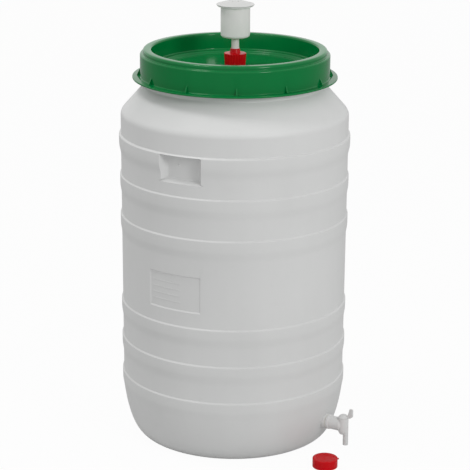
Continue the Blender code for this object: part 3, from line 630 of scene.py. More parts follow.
@dataclass
class BarrelShell:
    """The blow-moulded body: bands, shoulder, neck, hand grips, tap boss and a bare label panel."""

    base_radius: float = 0.2007
    base_wall: float = 0.005
    groove_inner: float = 0.150
    groove_outer: float = 0.180
    groove_depth: float = 0.0025
    curve_run: float = 0.0484
    curve_rise: float = 0.1888
    curve_points: int = 20
    wall: float = 0.0036
    wall_spread: float = 0.0018
    first_band: float = 0.1044
    lower_band: float = 0.0400
    lower_valley: float = 0.0422
    upper_start: float = 0.4608
    upper_band: float = 0.0430
    upper_valley: float = 0.0451
    bands_per_group: int = 3
    band_rise: float = 0.0028
    top_band_rise: float = 0.0042
    band_foot: float = 0.016
    band_foot_round: float = 0.060
    band_edge: float = 0.0026
    band_round: float = 0.0022
    top_wall: float = 0.0461
    shoulder_rise: float = 0.0589
    shoulder_round: float = 0.020
    neck_radius: float = 0.1935
    neck_wall: float = 0.0045
    neck_height: float = 0.0684
    neck_round: float = 0.0012
    grip_turn: float = math.radians(4.2)
    grip_width: float = 0.100
    grip_depth: float = 0.019
    grip_draft: float = 0.009
    grip_roof_drop: float = 0.0025
    grip_height: float = 0.059
    grip_ledge: float = 0.007
    grip_round: float = 0.005
    grip_steps: int = 8
    nub_radius: float = 0.0030
    nub_drop: float = 0.024
    nub_turn: float = math.radians(-2.5)
    nub_steps: int = 24
    bevel_steps: int = 4
    bevel_angle: float = 0.4
    tap_z: float = 0.058
    boss_radius: float = 0.0165
    boss_seat: float = 0.0035
    boss_round: float = 0.0015
    seat_radius: float = 0.0185
    seat_depth: float = 0.003
    hole_radius: float = 0.0108
    hole_span: tuple[float, float] = (0.15, 0.30)
    label_width: float = 0.129
    label_low: float = 0.340
    label_high: float = 0.421
    label_depth: float = 0.0020
    label_slope: float = 0.0034
    label_line: float = 0.0016
    label_line_length: float = 0.072
    label_line_aside: float = 0.0193
    label_rise: float = 0.0006
    label_rules: int = 4
    label_steps: int = 24
    thread_lift: float = 0.040
    thread_depth: float = 0.004

    def radius_at(self, height: float) -> float:
        """Return the outer radius between the bands at a height."""
        lift = 1 - min(height, self.first_band) / self.curve_rise
        share = max(0.0, height - self.first_band) / (self.shoulder - self.first_band)
        return self.base_radius + self.curve_run * math.sqrt(1 - lift * lift) + self.wall_spread * share

    def bands(self) -> list[tuple[float, float, float]]:
        """Return the bottom, top and rise of each band, from the base upwards."""
        found = []
        for start, height, valley in (
            (self.first_band, self.lower_band, self.lower_valley),
            (self.upper_start, self.upper_band, self.upper_valley),
        ):
            for count in range(self.bands_per_group):
                low = start + count * (height + valley)
                found.append((low, low + height, self.band_rise))
        return [*found[:-1], (*found[-1][:2], self.top_band_rise)]

    @property
    def top_band_top(self) -> float:
        """Height of the highest band's upper edge."""
        pitch = self.upper_band + self.upper_valley
        return self.upper_start + self.bands_per_group * pitch - self.upper_valley

    @property
    def shoulder(self) -> float:
        """Height at which the wall would meet the shoulder's cone."""
        return self.top_band_top + self.top_wall

    @property
    def neck_root(self) -> float:
        """Height of the neck's foot."""
        return self.shoulder + self.shoulder_rise

    def lower_curve(self, lowest: float, inset: float) -> list[Corner]:
        """Trace the round lower wall.

        Args:
            lowest: height at which the curve starts.
            inset: how far it lies inside the outer wall.

        Returns:
            Corners with no rounding, up to the first band.
        """
        start = math.asin(1 - lowest / self.curve_rise)
        end = math.asin(1 - self.first_band / self.curve_rise)
        found = []
        for step in range(self.curve_points):
            angle = start + (end - start) * step / (self.curve_points - 1)
            radius = self.base_radius + self.curve_run * math.cos(angle) - inset
            found.append((radius, self.curve_rise * (1 - math.sin(angle)), 0.0))
        return found

    def outline(self) -> list[Corner]:
        """Return the corners of the wall's section, from the base's middle up, over the neck and down inside."""
        depth, soft = self.groove_depth, self.groove_depth / 2
        corners: list[Corner] = [
            (0, 0, 0),
            (self.groove_inner, 0, soft),
            (self.groove_inner + depth, depth, soft),
            (self.groove_outer - depth, depth, soft),
            (self.groove_outer, 0, soft),
        ]
        corners += self.lower_curve(0, 0)[:-1]
        for low, high, rise in self.bands():
            corners += [
                (self.radius_at(low), low, self.band_foot_round),
                (self.radius_at(low) + rise, low + self.band_foot, self.band_foot_round),
                (self.radius_at(high) + rise, high - self.band_edge, self.band_round),
                (self.radius_at(high), high, self.band_round),
            ]
        top = self.neck_root + self.neck_height
        inner = self.neck_radius - self.neck_wall
        corners += [
            (self.radius_at(self.shoulder), self.shoulder, self.shoulder_round),
            (self.neck_radius, self.neck_root, self.neck_wall),
            (self.neck_radius, top, self.neck_round),
            (inner, top, self.neck_round),
            (inner, self.neck_root - self.wall / 3, self.neck_wall),
            (self.radius_at(self.shoulder) - self.wall, self.shoulder - self.wall / 2, self.shoulder_round),
        ]
        corners += reversed(self.lower_curve(self.base_wall, self.wall))
        return [*corners, (0, self.base_wall, 0)]

    def grip_outlines(self) -> tuple[list[Point], list[Point]]:
        """Return the outline of a grip's recess, and of the inner pocket that closes it."""
        face = self.radius_at(self.top_band_top)
        roof = self.top_band_top - self.grip_roof_drop
        floor = face - self.grip_depth
        foot = roof - self.grip_height
        ledge = foot + self.grip_ledge
        outside = face + self.top_band_rise + self.wall
        skin = face - self.wall / 2
        recess = [
            (outside, roof),
            (floor, roof),
            (floor + self.wall, ledge),
            (face, foot),
            (outside, foot - self.wall),
        ]
        pocket = [
            (skin, roof + self.wall),
            (floor - self.wall, roof + self.wall),
            (floor, ledge - self.wall),
            (skin, foot - 2 * self.wall),
        ]
        return recess, pocket

    def tap_boss(self) -> Item:
        """Return the round block in the wall that the tap is clamped to."""
        outer = self.radius_at(self.tap_z + self.boss_radius) + self.boss_seat
        inner = self.radius_at(self.tap_z - self.seat_radius) - self.wall - self.seat_depth
        step = (inner + outer) / 2 - self.wall
        corners = [
            (self.hole_radius, inner, 0),
            (self.seat_radius, inner, self.boss_round),
            (self.seat_radius, step, 0),
            (self.boss_radius, step, 0),
            (self.boss_radius, outer, self.boss_round),
            (self.hole_radius, outer, 0),
        ]
        return along_tap(turn("tap_boss", corners, closed=True), self.tap_z)

    def label_panel(self) -> Item:
        """Return the shallow block with sloping sides that presses the bare label panel into the wall."""
        face = self.radius_at((self.label_low + self.label_high) / 2)
        deep, proud = face - self.label_depth, face + FIT_GAP
        half = self.label_width / 2 / face
        outline = [
            (deep, self.label_low + self.label_slope),
            (proud, self.label_low),
            (proud, self.label_high),
            (deep, self.label_high - self.label_slope),
        ]
        panel = sweep("label_panel", outline, math.pi, half, self.label_steps)
        slope_ends(panel, math.pi, half, face - self.label_depth / 2, self.label_slope)
        return panel

    def label_lines(self) -> Item:
        """Return the plain raised lines on the label panel, which carry no lettering."""
        floor = self.radius_at((self.label_low + self.label_high) / 2) - self.label_depth
        low, high = floor - self.label_depth / 2, floor + self.label_rise
        middle = math.pi - self.label_line_aside / floor
        line = self.label_line / 2
        gap = (self.label_high - self.label_low) / (self.label_rules + 2)
        made = []
        for count in range(self.label_rules):
            height = self.label_high - (count + 1.5) * gap
            sides = [(low, -line), (high, -line / 2), (high, line / 2), (low, line)]
            outline = [(radius, height + rise) for radius, rise in sides]
            made.append(sweep("label_line", outline, middle, self.label_line_length / 2 / floor, self.label_steps))
        lines = join(made)
        lines.name = lines.data.name = "label_lines"
        return lines

    def grip_nub(self, middle: float) -> Item:
        """Return the small moulded nub on a grip's back wall.

        Args:
            middle: direction of the grip's middle, in radians from +X.

        Returns:
            The nub, in its place.
        """
        back = self.radius_at(self.top_band_top) - self.grip_depth
        clear_selection()
        bpy.ops.mesh.primitive_uv_sphere_add(
            segments=self.nub_steps, ring_count=self.nub_steps // 2, radius=self.nub_radius
        )
        angle = middle + self.nub_turn
        height = self.top_band_top - self.grip_roof_drop - self.nub_drop
        return put(bpy.context.object, (back * math.cos(angle), back * math.sin(angle), height))

    def build(self) -> list[Item]:
        """Return the shell, its neck thread, its label lines and the nubs of its grips."""
        shell = turn("barrel_shell", self.outline(), BIG_STEPS)
        face = self.radius_at(self.top_band_top)
        half = self.grip_width / 2 / face
        recess, pocket = self.grip_outlines()
        blocks, cutters, nubs = [self.tap_boss()], [self.label_panel()], []
        for middle in (math.pi + self.grip_turn, self.grip_turn):
            wide = half + self.wall / face
            block = sweep("grip_pocket", pocket, middle, wide, self.grip_steps)
            cutter = sweep("grip_recess", recess, middle, half, self.grip_steps)
            slope_ends(block, middle, wide, face - self.grip_depth / 2, self.grip_draft)
            slope_ends(cutter, middle, half, face - self.grip_depth / 2, self.grip_draft)
            for item, radius in ((block, self.grip_round + self.wall / 2), (cutter, self.grip_round)):
                bevel(item, radius, self.bevel_steps, self.bevel_angle)
            blocks.append(block)
            cutters.append(cutter)
            nubs.append(self.grip_nub(middle))
        cutters.append(along_tap(rod("tap_hole", self.hole_radius, *self.hole_span), self.tap_z))
        for block in blocks:
            combine(shell, block, Joining.ADD)
        for cutter in cutters:
            combine(shell, cutter, Joining.CUT)
        root, crest = self.neck_radius - self.neck_wall / 3, self.neck_radius + self.thread_depth
        nub_pair = join(nubs)
        nub_pair.name = nub_pair.data.name = "grip_nubs"
        thread = NECK_THREAD.wind("neck_thread", root, crest, self.neck_root + self.thread_lift, BIG_STEPS)
        return [shell, thread, self.label_lines(), nub_pair]

    def dress(self) -> None:
        """Build the pieces and give them the barrel's plastic."""
        shell, *details = self.build()
        place(shell, "barrel", BARREL_FINISH, "barrel_body")
        for detail in details:
            place(detail, "barrel", BARREL_FINISH)


def along_tap(item: Item, height: float) -> Item:
    """Lay a turned shape along the tap's axis, so that its height runs outwards along -Y.

    Args:
        item: shape turned about Z.
        height: height of the tap's axis.

    Returns:
        The same object.
    """
    return put(item, (0, 0, height), (math.pi / 2, 0, 0))


@dataclass
class ScrewLid:
    """The green lid: stepped rim, sunken dish, flange with gussets, and the threaded nozzle."""

    wall: float = 0.003
    flange_thick: float = 0.0035
    skirt_outer: float = 0.2035
    skirt_inner: float = 0.2005
    crest_outer: float = 0.1972
    crest_inner: float = 0.1945
    crest_drop: float = 0.0095
    crest_round: float = 0.0055
    rim_round: float = 0.0040
    shoulder_round: float = 0.0058
    dish_outer: float = 0.182
    dish_inner: float = 0.179
    dish_depth: float = 0.043
    dish_draft: float = 0.0012
    step_rise: float = 0.006
    step_width: float = 0.013
    step_slope: float = 0.004
    bore: float = 0.0135
    nozzle: float = 0.0165
    nozzle_height: float = 0.0272
    gussets: int = 12
    gusset_turn: float = math.radians(2.5)
    gusset_reach: float = 0.0065
    gusset_rise: float = 0.014
    gusset_thick: float = 0.003
    gusset_tip: float = 0.0008
    gusset_top: float = 0.0012
    shoulder_fall: float = 0.0004
    bore_edge: float = 0.0004
    lip_edge: float = 0.0005
    nozzle_edge: float = 0.0007
    under_edge: float = 0.0008
    flange_edge: float = 0.0009
    nook_round: float = 0.0016
    foot_round: float = 0.002
    step_round: float = 0.0025
    dish_round: float = 0.003
    under_round: float = 0.004
    neck_thread_crest: float = 0.195
    neck_thread_lift: float = 0.020
    cap_thread_crest: float = 0.0183
    cap_thread_lift: float = 0.008

    def outline(self, bottom: float, top: float, flange: float) -> list[Corner]:
        """Trace the lid's section.

        Args:
            bottom: height of the flange's underside.
            top: height of the rim.
            flange: radius of the flange.

        Returns:
            Corners of the closed section.
        """
        floor = top - self.dish_depth
        step = floor + self.step_rise
        ring = self.dish_inner - self.step_width
        under = top - self.wall
        shoulder = top - self.crest_drop
        nozzle_top = floor + self.nozzle_height
        return [
            (self.bore, floor - self.wall, self.bore_edge),
            (self.bore, nozzle_top, self.lip_edge),
            (self.nozzle, nozzle_top, self.nozzle_edge),
            (self.nozzle, floor, self.foot_round),
            (ring - self.step_slope, floor, self.step_round),
            (ring, step, self.step_round),
            (self.dish_inner - self.dish_draft, step, self.dish_round),
            (self.dish_inner, top, self.rim_round),
            (self.crest_outer, top, self.crest_round),
            (self.crest_outer, shoulder, self.nook_round),
            (self.skirt_outer, shoulder - self.shoulder_fall, self.shoulder_round),
            (self.skirt_outer, bottom + self.flange_thick, self.nook_round),
            (flange, bottom + self.flange_thick, self.flange_edge),
            (flange, bottom, self.flange_edge),
            (self.skirt_inner, bottom, self.lip_edge),
            (self.skirt_inner, shoulder - self.wall, self.nook_round),
            (self.crest_inner, shoulder - self.wall, self.under_edge),
            (self.crest_inner, under, self.under_edge),
            (self.dish_outer, under, self.under_edge),
            (self.dish_outer - self.dish_draft, step - self.wall, self.under_round),
            (ring + self.wall / 2, step - self.wall, self.foot_round),
            (ring + self.wall / 2 - self.step_slope, floor - self.wall, self.foot_round),
        ]

    def gusset(self, bottom: float) -> Item:
        """Return one gusset between the skirt and the flange, at turn zero."""
        top = bottom + self.flange_thick
        root = self.skirt_outer - self.wall / 3
        tip = self.skirt_outer + self.gusset_reach
        wedge = [
            (root, top - self.flange_thick / 3, 0),
            (tip, top - self.flange_thick / 3, 0),
            (tip, top + self.gusset_thick / 2, self.gusset_tip),
            (root + self.wall / 2, top + self.gusset_rise, self.gusset_top),
            (root, top + self.gusset_rise, 0),
        ]
        return sweep("gusset", rounded(wedge, closed=True), 0.0, self.gusset_thick / 2 / self.skirt_outer, 2)

    def build(self) -> Item:
        """Return the lid in one piece."""
        low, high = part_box("lid")
        cap_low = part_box("airlock_cap")[0].z
        lid = turn("lid_shell", self.outline(low.z, high.z, high.x), BIG_STEPS, closed=True)
        pitch = 2 * math.pi / self.gussets
        turns = [self.gusset_turn + pitch * count for count in range(self.gussets)]
        additions = copies_about_z(self.gusset(low.z), turns)
        root, start = self.skirt_inner + self.wall / 3, low.z + self.neck_thread_lift
        additions.append(NECK_THREAD.wind("lid_thread", root, self.neck_thread_crest, start, BIG_STEPS))
        root, start = self.nozzle - self.wall / 3, cap_low + self.cap_thread_lift
        additions.append(CAP_THREAD.wind("nozzle_thread", root, self.cap_thread_crest, start, SMALL_STEPS))
        combine(lid, join(additions), Joining.ADD)
        return lid

    def dress(self) -> None:
        """Build the lid and give it its finish."""
        place(self.build(), "lid", LID_FINISH, "lid")


@dataclass
class AirlockCap:
    """The red ribbed cap in the lid's middle, with the collar that grips the airlock's stem."""

    hole: float = 0.0086
    collar_base: float = 0.0115
    collar_top: float = 0.0099
    collar_rise: float = 0.0098
    wall: float = 0.003
    top_radius: float = 0.0238
    bottom_radius: float = 0.0221
    inner: float = 0.0192
    ribs: int = 24
    rib_depth: float = 0.0009
    rib_stop: float = 0.0012
    rib_wall: float = 0.0015
    lip_edge: float = 0.0005
    foot_edge: float = 0.0006
    collar_edge: float = 0.0007
    collar_foot: float = 0.0012
    crown_width: float = 0.004
    crown_fall: float = 0.0004
    crown_round: float = 0.0013
    thread_rise: float = 0.005
    thread_sink: float = 0.0009
    thread_crest: float = 0.0174

    def build(self) -> Item:
        """Return the cap in one piece."""
        low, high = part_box("airlock_cap")
        top = high.z - self.collar_rise
        under = top - self.wall
        corners = [
            (self.hole, under, 0),
            (self.hole, high.z, self.lip_edge),
            (self.collar_top, high.z, self.collar_edge),
            (self.collar_base, top, self.collar_foot),
            (self.top_radius - self.crown_width, top, 0),
            (self.top_radius, top - self.crown_fall, self.crown_round),
            (self.bottom_radius, low.z, self.foot_edge),
            (self.inner, low.z, self.lip_edge),
            (self.inner, under, self.lip_edge),
        ]
        cap = turn("airlock_cap_shell", corners, self.ribs * FLUTE_COLUMNS, closed=True)
        zone = low.z - WELD, top - self.rib_stop
        flute(cap, self.ribs, self.rib_depth, zone, self.inner + self.rib_wall)
        root, start = self.inner + self.thread_sink, low.z + self.thread_rise
        combine(cap, CAP_THREAD.wind("cap_thread", root, self.thread_crest, start, SMALL_STEPS), Joining.ADD)
        return cap

    def dress(self) -> None:
        """Build the cap and give it its finish."""
        place(self.build(), "airlock_cap", CAP_FINISH, "airlock_cap")


@dataclass
class Airlock:
    """The water trap: a cup on a stem, a loose bell over its inner tube, and a domed cover."""

    stem: float = 0.0083
    bore: float = 0.0050
    cup: float = 0.0314
    wall: float = 0.002
    cup_height: float = 0.0685
    cup_round: float = 0.006
    tube: float = 0.0068
    tube_height: float = 0.041
    bell: float = 0.0200
    bell_wall: float = 0.0015
    bell_round: float = 0.004
    cover_wall: float = 0.0022
    cover_rim: float = 0.0045
    skirt: float = 0.0287
    skirt_wall: float = 0.0015
    skirt_drop: float = 0.007
    dome_points: int = 9
    vents: int = 6
    vent_steps: int = 24
    vent_radius: float = 0.0020
    vent_circle: float = 0.012
    fine_edge: float = 0.0004
    thin_edge: float = 0.0005
    mouth_edge: float = 0.0006
    lip_edge: float = 0.0008
    cover_edge: float = 0.0009
    lip_foot: float = 0.0012
    lip_taper: float = 1.6
    stem_root: float = 0.0016

    def vessel(self) -> Item:
        """Return the cup with its stem, lip and inner tube."""
        low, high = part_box("airlock_vessel")
        bottom = high.z - self.cup_height
        floor = bottom + self.wall
        tube_top = floor + self.tube_height
        corners = [
            (self.bore, low.z, self.fine_edge),
            (self.bore, tube_top, self.fine_edge),
            (self.tube, tube_top, self.fine_edge),
            (self.tube, floor, self.lip_foot),
            (self.cup - self.wall, floor, self.cup_round - self.wall),
            (self.cup - self.wall, high.z, self.mouth_edge),
            (high.x, high.z, self.lip_edge),
            (high.x, high.z - self.wall, self.lip_edge),
            (self.cup, high.z - self.wall * self.lip_taper, self.lip_foot),
            (self.cup, bottom, self.cup_round),
            (self.stem, bottom, self.stem_root),
            (self.stem, low.z, self.lip_edge),
        ]
        return turn("airlock_cup", corners, closed=True)

    def loose_bell(self) -> Item:
        """Return the bell that floats over the inner tube."""
        low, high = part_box("airlock_bell")
        corners = [
            (0, high.z - self.bell_wall, 0),
            (self.bell - self.bell_wall, high.z - self.bell_wall, self.bell_round - self.bell_wall),
            (self.bell - self.bell_wall, low.z, self.thin_edge),
            (self.bell, low.z, self.thin_edge),
            (self.bell, high.z, self.bell_round),
            (0, high.z, 0),
        ]
        return turn("airlock_bell_shell", corners)

    def dome(self, base: float, foot: float, apex: float) -> list[Corner]:
        """Trace a low dome.

        Args:
            base: radius of its foot.
            foot: height of its foot.
            apex: height of its middle.

        Returns:
            Corners with no rounding, from the middle out.
        """
        rise = apex - foot
        ball = (base * base + rise * rise) / (2 * rise)
        found = []
        for step in range(self.dome_points):
            radius = base * step / (self.dome_points - 1)
            found.append((radius, foot - ball + rise + math.sqrt(ball * ball - radius * radius), 0.0))
        return found

    def cover(self) -> Item:
        """Return the vented cover that rests on the cup's lip."""
        low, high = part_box("airlock_cover")
        base = low.z + self.skirt_drop
        inside = self.skirt - self.skirt_wall
        corners = self.dome(inside, base, high.z - 2 * self.cover_wall)
        corners += [
            (inside, low.z, self.fine_edge),
            (self.skirt, low.z, self.fine_edge),
            (self.skirt, base, self.thin_edge),
            (high.x, base, self.cover_edge),
            (high.x, base + self.cover_wall, self.cover_edge),
        ]
        corners += reversed(self.dome(high.x - self.cover_rim, base + self.cover_wall, high.z))
        cover = turn("airlock_cover_shell", corners)
        vent = rod("vent", self.vent_radius, base, high.z + CUT_MARGIN, self.vent_steps)
        put(vent, (self.vent_circle, 0, 0))
        turns = [2 * math.pi * count / self.vents for count in range(self.vents)]
        combine(cover, join(copies_about_z(vent, turns)), Joining.CUT)
        return cover

    def dress(self) -> None:
        """Build the three pieces and give them the milky plastic; the cover gets a darker copy of it, which paints
        shade on its lamp-lit top.
        """
        place(self.vessel(), "airlock_vessel", AIRLOCK_FINISH, "airlock_vessel")
        place(self.loose_bell(), "airlock_bell", AIRLOCK_FINISH, "airlock_bell")
        place(self.cover(), "airlock_cover", COVER_PAINTED_SHADE_FINISH, "airlock_cover")


@dataclass
class DrawOffTap:
    """The tap: a hub and pipe through the wall, an upright housing with its spout, and the turning key."""

    height: float = 0.058
    tail: float = 0.0103
    hub: float = 0.0160
    hub_thick: float = 0.006
    pipe: float = 0.0146
    pipe_length: float = 0.0313
    nose: float = 0.006
    bore: float = 0.0060
    housing: float = 0.0112
    housing_low: float = 0.0375
    housing_high: float = 0.0750
    housing_taper: float = 0.007
    chamber: float = 0.0425
    key: float = 0.0077
    key_low: float = 0.0465
    key_port: float = 0.0045
    head_rise: float = 0.0060
    crown: float = 0.0070
    ring_low: float = 0.0689
    ring_high: float = 0.0708
    ring_groove: float = 0.0063
    spout: float = 0.0058
    spout_bore: float = 0.0042
    spout_offset: float = 0.0062
    spout_low: float = 0.013
    lever_reach: float = 0.0232
    lever_root: float = 0.0165
    lever_rise: float = 0.0172
    lever_arm: float = 0.0038
    lever_blade: float = 0.0080
    lever_thick: float = 0.0036
    lever_chamfer: float = 0.0055
    lever_round: float = 0.0013
    lever_lift: float = 0.0006
    lever_corner: float = 0.004
    lever_tip: float = 0.0022
    lever_bend: float = 0.006
    bevel_steps: int = 3
    bevel_angle: float = 0.9
    bore_start: float = 0.15
    outlet_lap: float = 0.002
    side_reach: float = 0.02
    side_steps: int = 36
    key_edge: float = 0.0004
    head_edge: float = 0.0005
    head_rim: float = 0.0012
    crown_round: float = 0.0025
    end_edge: float = 0.0008
    hub_edge: float = 0.0006
    hub_bevel: float = 0.0008
    hub_foot: float = 0.0010
    hub_round: float = 0.0016
    nose_round: float = 0.004
    housing_edge: float = 0.0006
    housing_foot: float = 0.003
    housing_round: float = 0.005

    def __post_init__(self) -> None:
        """Take the tap's stations along its axis from the frame."""
        self.tail_start = -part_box("tap_body")[1].y
        self.hub_start = FIT_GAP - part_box("tap_outer_washer")[0].y
        self.hub_end = self.hub_start + self.hub_thick
        self.axis = self.hub_end + self.pipe_length

    def upright(
        self, name: str, radius: float, low: float, high: float, soft: float = 0.0, offset: float = 0.0
    ) -> Item:
        """Make an upright rod by the key's axis.

        Args:
            name: name of the new object.
            radius: its radius.
            low: height of its foot.
            high: height of its top.
            soft: rounding of its two edges.
            offset: how far it stands outside the key's axis.

        Returns:
            The rod, in its place.
        """
        return put(rod(name, radius, low, high, soft=soft), (0, -self.axis - offset, 0))

    def body(self) -> Item:
        """Return the tap's body, with its bores."""
        end = self.axis - FIT_GAP
        pipe = [
            (0, self.tail_start, 0),
            (self.tail, self.tail_start, self.end_edge),
            (self.tail, self.hub_start, 0),
            (self.hub, self.hub_start, self.hub_edge),
            (self.hub, self.hub_end - self.hub_bevel, self.hub_round),
            (self.pipe, self.hub_end, self.hub_foot),
            (self.pipe, self.axis - self.nose, self.nose_round),
            (self.housing - FIT_GAP, end, 0),
            (0, end, 0),
        ]
        item = along_tap(turn("tap_pipe", pipe), self.height)
        low, taper = self.housing_low, self.housing_taper
        barrel = [
            (0, low, 0),
            (self.housing - taper / 2, low, self.housing_foot),
            (self.housing, low + taper, self.housing_round),
            (self.housing, self.housing_high, self.housing_edge),
            (0, self.housing_high, 0),
        ]
        combine(item, put(turn("tap_housing", barrel), (0, -self.axis, 0)), Joining.ADD)
        foot, aside = self.spout_low, self.spout_offset
        combine(item, self.upright("tap_spout", self.spout, foot, self.height, self.end_edge, aside), Joining.ADD)
        way = along_tap(rod("tap_bore", self.bore, self.bore_start, self.axis), self.height)
        top = self.housing_high + CUT_MARGIN
        combine(way, self.upright("key_bore", self.key + FIT_GAP, self.chamber, top), Joining.ADD)
        below, above = foot - CUT_MARGIN / 2, self.chamber + self.outlet_lap
        combine(way, self.upright("outlet", self.spout_bore, below, above, offset=aside), Joining.ADD)
        combine(item, way, Joining.CUT)
        item.name = item.data.name = "tap_body_shell"
        return item

    def turning_key(self) -> Item:
        """Return the key: a plug with its angled way, a head and a thumb lever."""
        head = self.housing_high + FIT_GAP
        top = head + self.head_rise
        corners = [
            (0, self.key_low, 0),
            (self.key, self.key_low, self.key_edge),
            (self.key, self.ring_low, 0),
            (self.ring_groove, self.ring_low, 0),
            (self.ring_groove, self.ring_high, 0),
            (self.key, self.ring_high, 0),
            (self.key, head, 0),
            (self.housing, head, self.head_edge),
            (self.housing, head + self.head_rim, self.head_rim),
            (self.crown, top, self.crown_round),
            (0, top, 0),
        ]
        key = put(turn("tap_key_shell", corners), (0, -self.axis, 0))
        combine(key, self.lever(head, top), Joining.ADD)
        side = rod("side_way", self.key_port, 0, self.side_reach, self.side_steps)
        combine(key, put(side, (0, -self.axis, self.height), (0, math.pi / 2, 0)), Joining.CUT)
        down = self.upright("down_way", self.key_port, self.key_low - CUT_MARGIN, self.height)
        combine(key, down, Joining.CUT)
        return key

    def lever(self, head: float, top: float) -> Item:
        """Make the lever, an arm that rises outwards into a flat thumb blade.

        Args:
            head: height of the key head's underside.
            top: height of its upper face.

        Returns:
            The lever, in its place.
        """
        low = head + self.lever_lift
        high = low + self.lever_arm
        peak = top + self.lever_rise
        back = self.lever_reach - self.lever_blade
        corners = [
            (0, low, 0),
            (self.lever_root, low, self.lever_corner),
            (self.lever_reach, low + self.lever_chamfer, self.lever_corner),
            (self.lever_reach, peak, self.lever_tip),
            (back, peak, self.lever_tip),
            (back - self.lever_chamfer, high, self.lever_bend),
            (0, high, 0),
        ]
        outline = rounded(corners, closed=True)
        item = trace("key_lever", [*outline, outline[0]])
        bpy.ops.mesh.remove_doubles(threshold=WELD)
        bpy.ops.mesh.select_all(action="SELECT")
        bpy.ops.mesh.edge_face_add()
        bpy.ops.mesh.extrude_region_move(TRANSFORM_OT_translate={"value": (0, self.lever_thick, 0)})
        weld()
        put(item, (0, -self.lever_thick / 2, 0))
        bevel(item, self.lever_round, self.bevel_steps, self.bevel_angle)
        return put(item, (0, -self.axis, 0), (0, 0, -math.pi / 2))

    def dress(self) -> None:
        """Build the tap and give it its finish."""
        place(self.body(), "barrel", TAP_FINISH, "tap_body")
        place(self.turning_key(), "tap_key", TAP_FINISH, "tap_key")


@dataclass
class SpareCap:
    """The closed red cap that lies in front of the barrel."""

    radius: float = 0.0270
    inner: float = 0.0192
    skin: float = 0.0022
    wall: float = 0.003
    dish: float = 0.0014
    rim: float = 0.0060
    groove: float = 0.011
    lug: float = 0.0026
    lug_width: float = 0.004
    lug_turn: float = math.radians(-58.5)
    lug_low: float = 0.0036
    lug_high: float = 0.0014
    lug_edge: float = 0.0006
    lug_steps: int = 4
    fine_edge: float = 0.0004
    lip_edge: float = 0.0005
    foot_edge: float = 0.0007
    rim_edge: float = 0.0012
    crown_round: float = 0.0016
    thread_rise: float = 0.003
    thread_sink: float = 0.0009
    thread_crest: float = 0.0174

    def build(self, middle: Point) -> Item:
        """Make the cap.

        Args:
            middle: where its axis stands.

        Returns:
            The cap in one piece, in its place.
        """
        low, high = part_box("blank_cap")
        top = high.z
        under = top - self.dish - self.wall
        collar = self.inner + self.skin
        edge, dished = self.radius - self.skin, self.radius - self.rim
        corners = [
            (0, under, 0),
            (self.inner, under, self.lip_edge),
            (self.inner, low.z, self.lip_edge),
            (collar, low.z, self.lip_edge),
            (collar, self.groove, self.fine_edge),
            (edge, self.groove, self.fine_edge),
            (edge, low.z, self.lip_edge),
            (self.radius, low.z, self.foot_edge),
            (self.radius, top, self.crown_round),
            (dished, top, self.rim_edge),
            (dished - self.dish, top - self.dish, self.dish),
            (0, top - self.dish, 0),
        ]
        cap = turn("spare_cap_shell", corners)
        root, start = self.inner + self.thread_sink, low.z + self.thread_rise
        combine(cap, CAP_THREAD.wind("spare_thread", root, self.thread_crest, start, SMALL_STEPS), Joining.ADD)
        root, tip = self.radius - self.skin / 2, self.radius + self.lug
        lug = [
            (root, top - self.lug_low, 0),
            (tip, top - self.lug_low, self.lug_edge),
            (tip, top - self.lug_high, self.lug_edge),
            (root, top - self.lug_high, 0),
        ]
        half = self.lug_width / 2 / self.radius
        combine(cap, sweep("lug", rounded(lug, closed=True), self.lug_turn, half, self.lug_steps), Joining.ADD)
        return put(cap, (*middle, 0))

    def dress(self) -> None:
        """Build the cap and give it its finish."""
        low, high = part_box("blank_cap_seal")
        middle = (low.x + high.x) / 2, (low.y + high.y) / 2
        place(self.build(middle), "blank_cap", CAP_FINISH, "blank_cap")


@dataclass
class SmallRings:
    """Seals, washers, the back nut and the key's ring, which keep the frame's own shapes."""

    pale: tuple[str, ...] = ("lid_seal", "tap_outer_washer", "tap_inner_washer")
    dark: tuple[str, ...] = ("airlock_cap_seal", "tap_key_o_ring", "blank_cap_seal")
    white: tuple[str, ...] = ("tap_back_nut",)

    def dress(self, nodes: dict[str, Item]) -> None:
        """Give each ring its finish.

        Args:
            nodes: the frame's node objects by name.
        """
        for names, finish in (
            (self.pale, PALE_RUBBER_FINISH),
            (self.dark, SEAL_RUBBER_FINISH),
            (self.white, TAP_FINISH),
        ):
            for name in names:
                nodes[name].data.materials.clear()
                nodes[name].data.materials.append(finish.material())
                LOG.info("%s keeps its shape with %s", name, finish.slot.value)


@dataclass(frozen=True)
class Lamp:
    """A soft square lamp, placed by its turn to the right of the camera, in degrees."""

    name: str
    turn_right: float
    reach: float
    height: float
    size: float
    power: float


LAMPS = (
    Lamp("main_lamp", turn_right=36.0, reach=2.5, height=1.7, size=0.55, power=17.0),
    Lamp("top_lamp", turn_right=-80.0, reach=0.9, height=2.8, size=0.6, power=14.0),
)


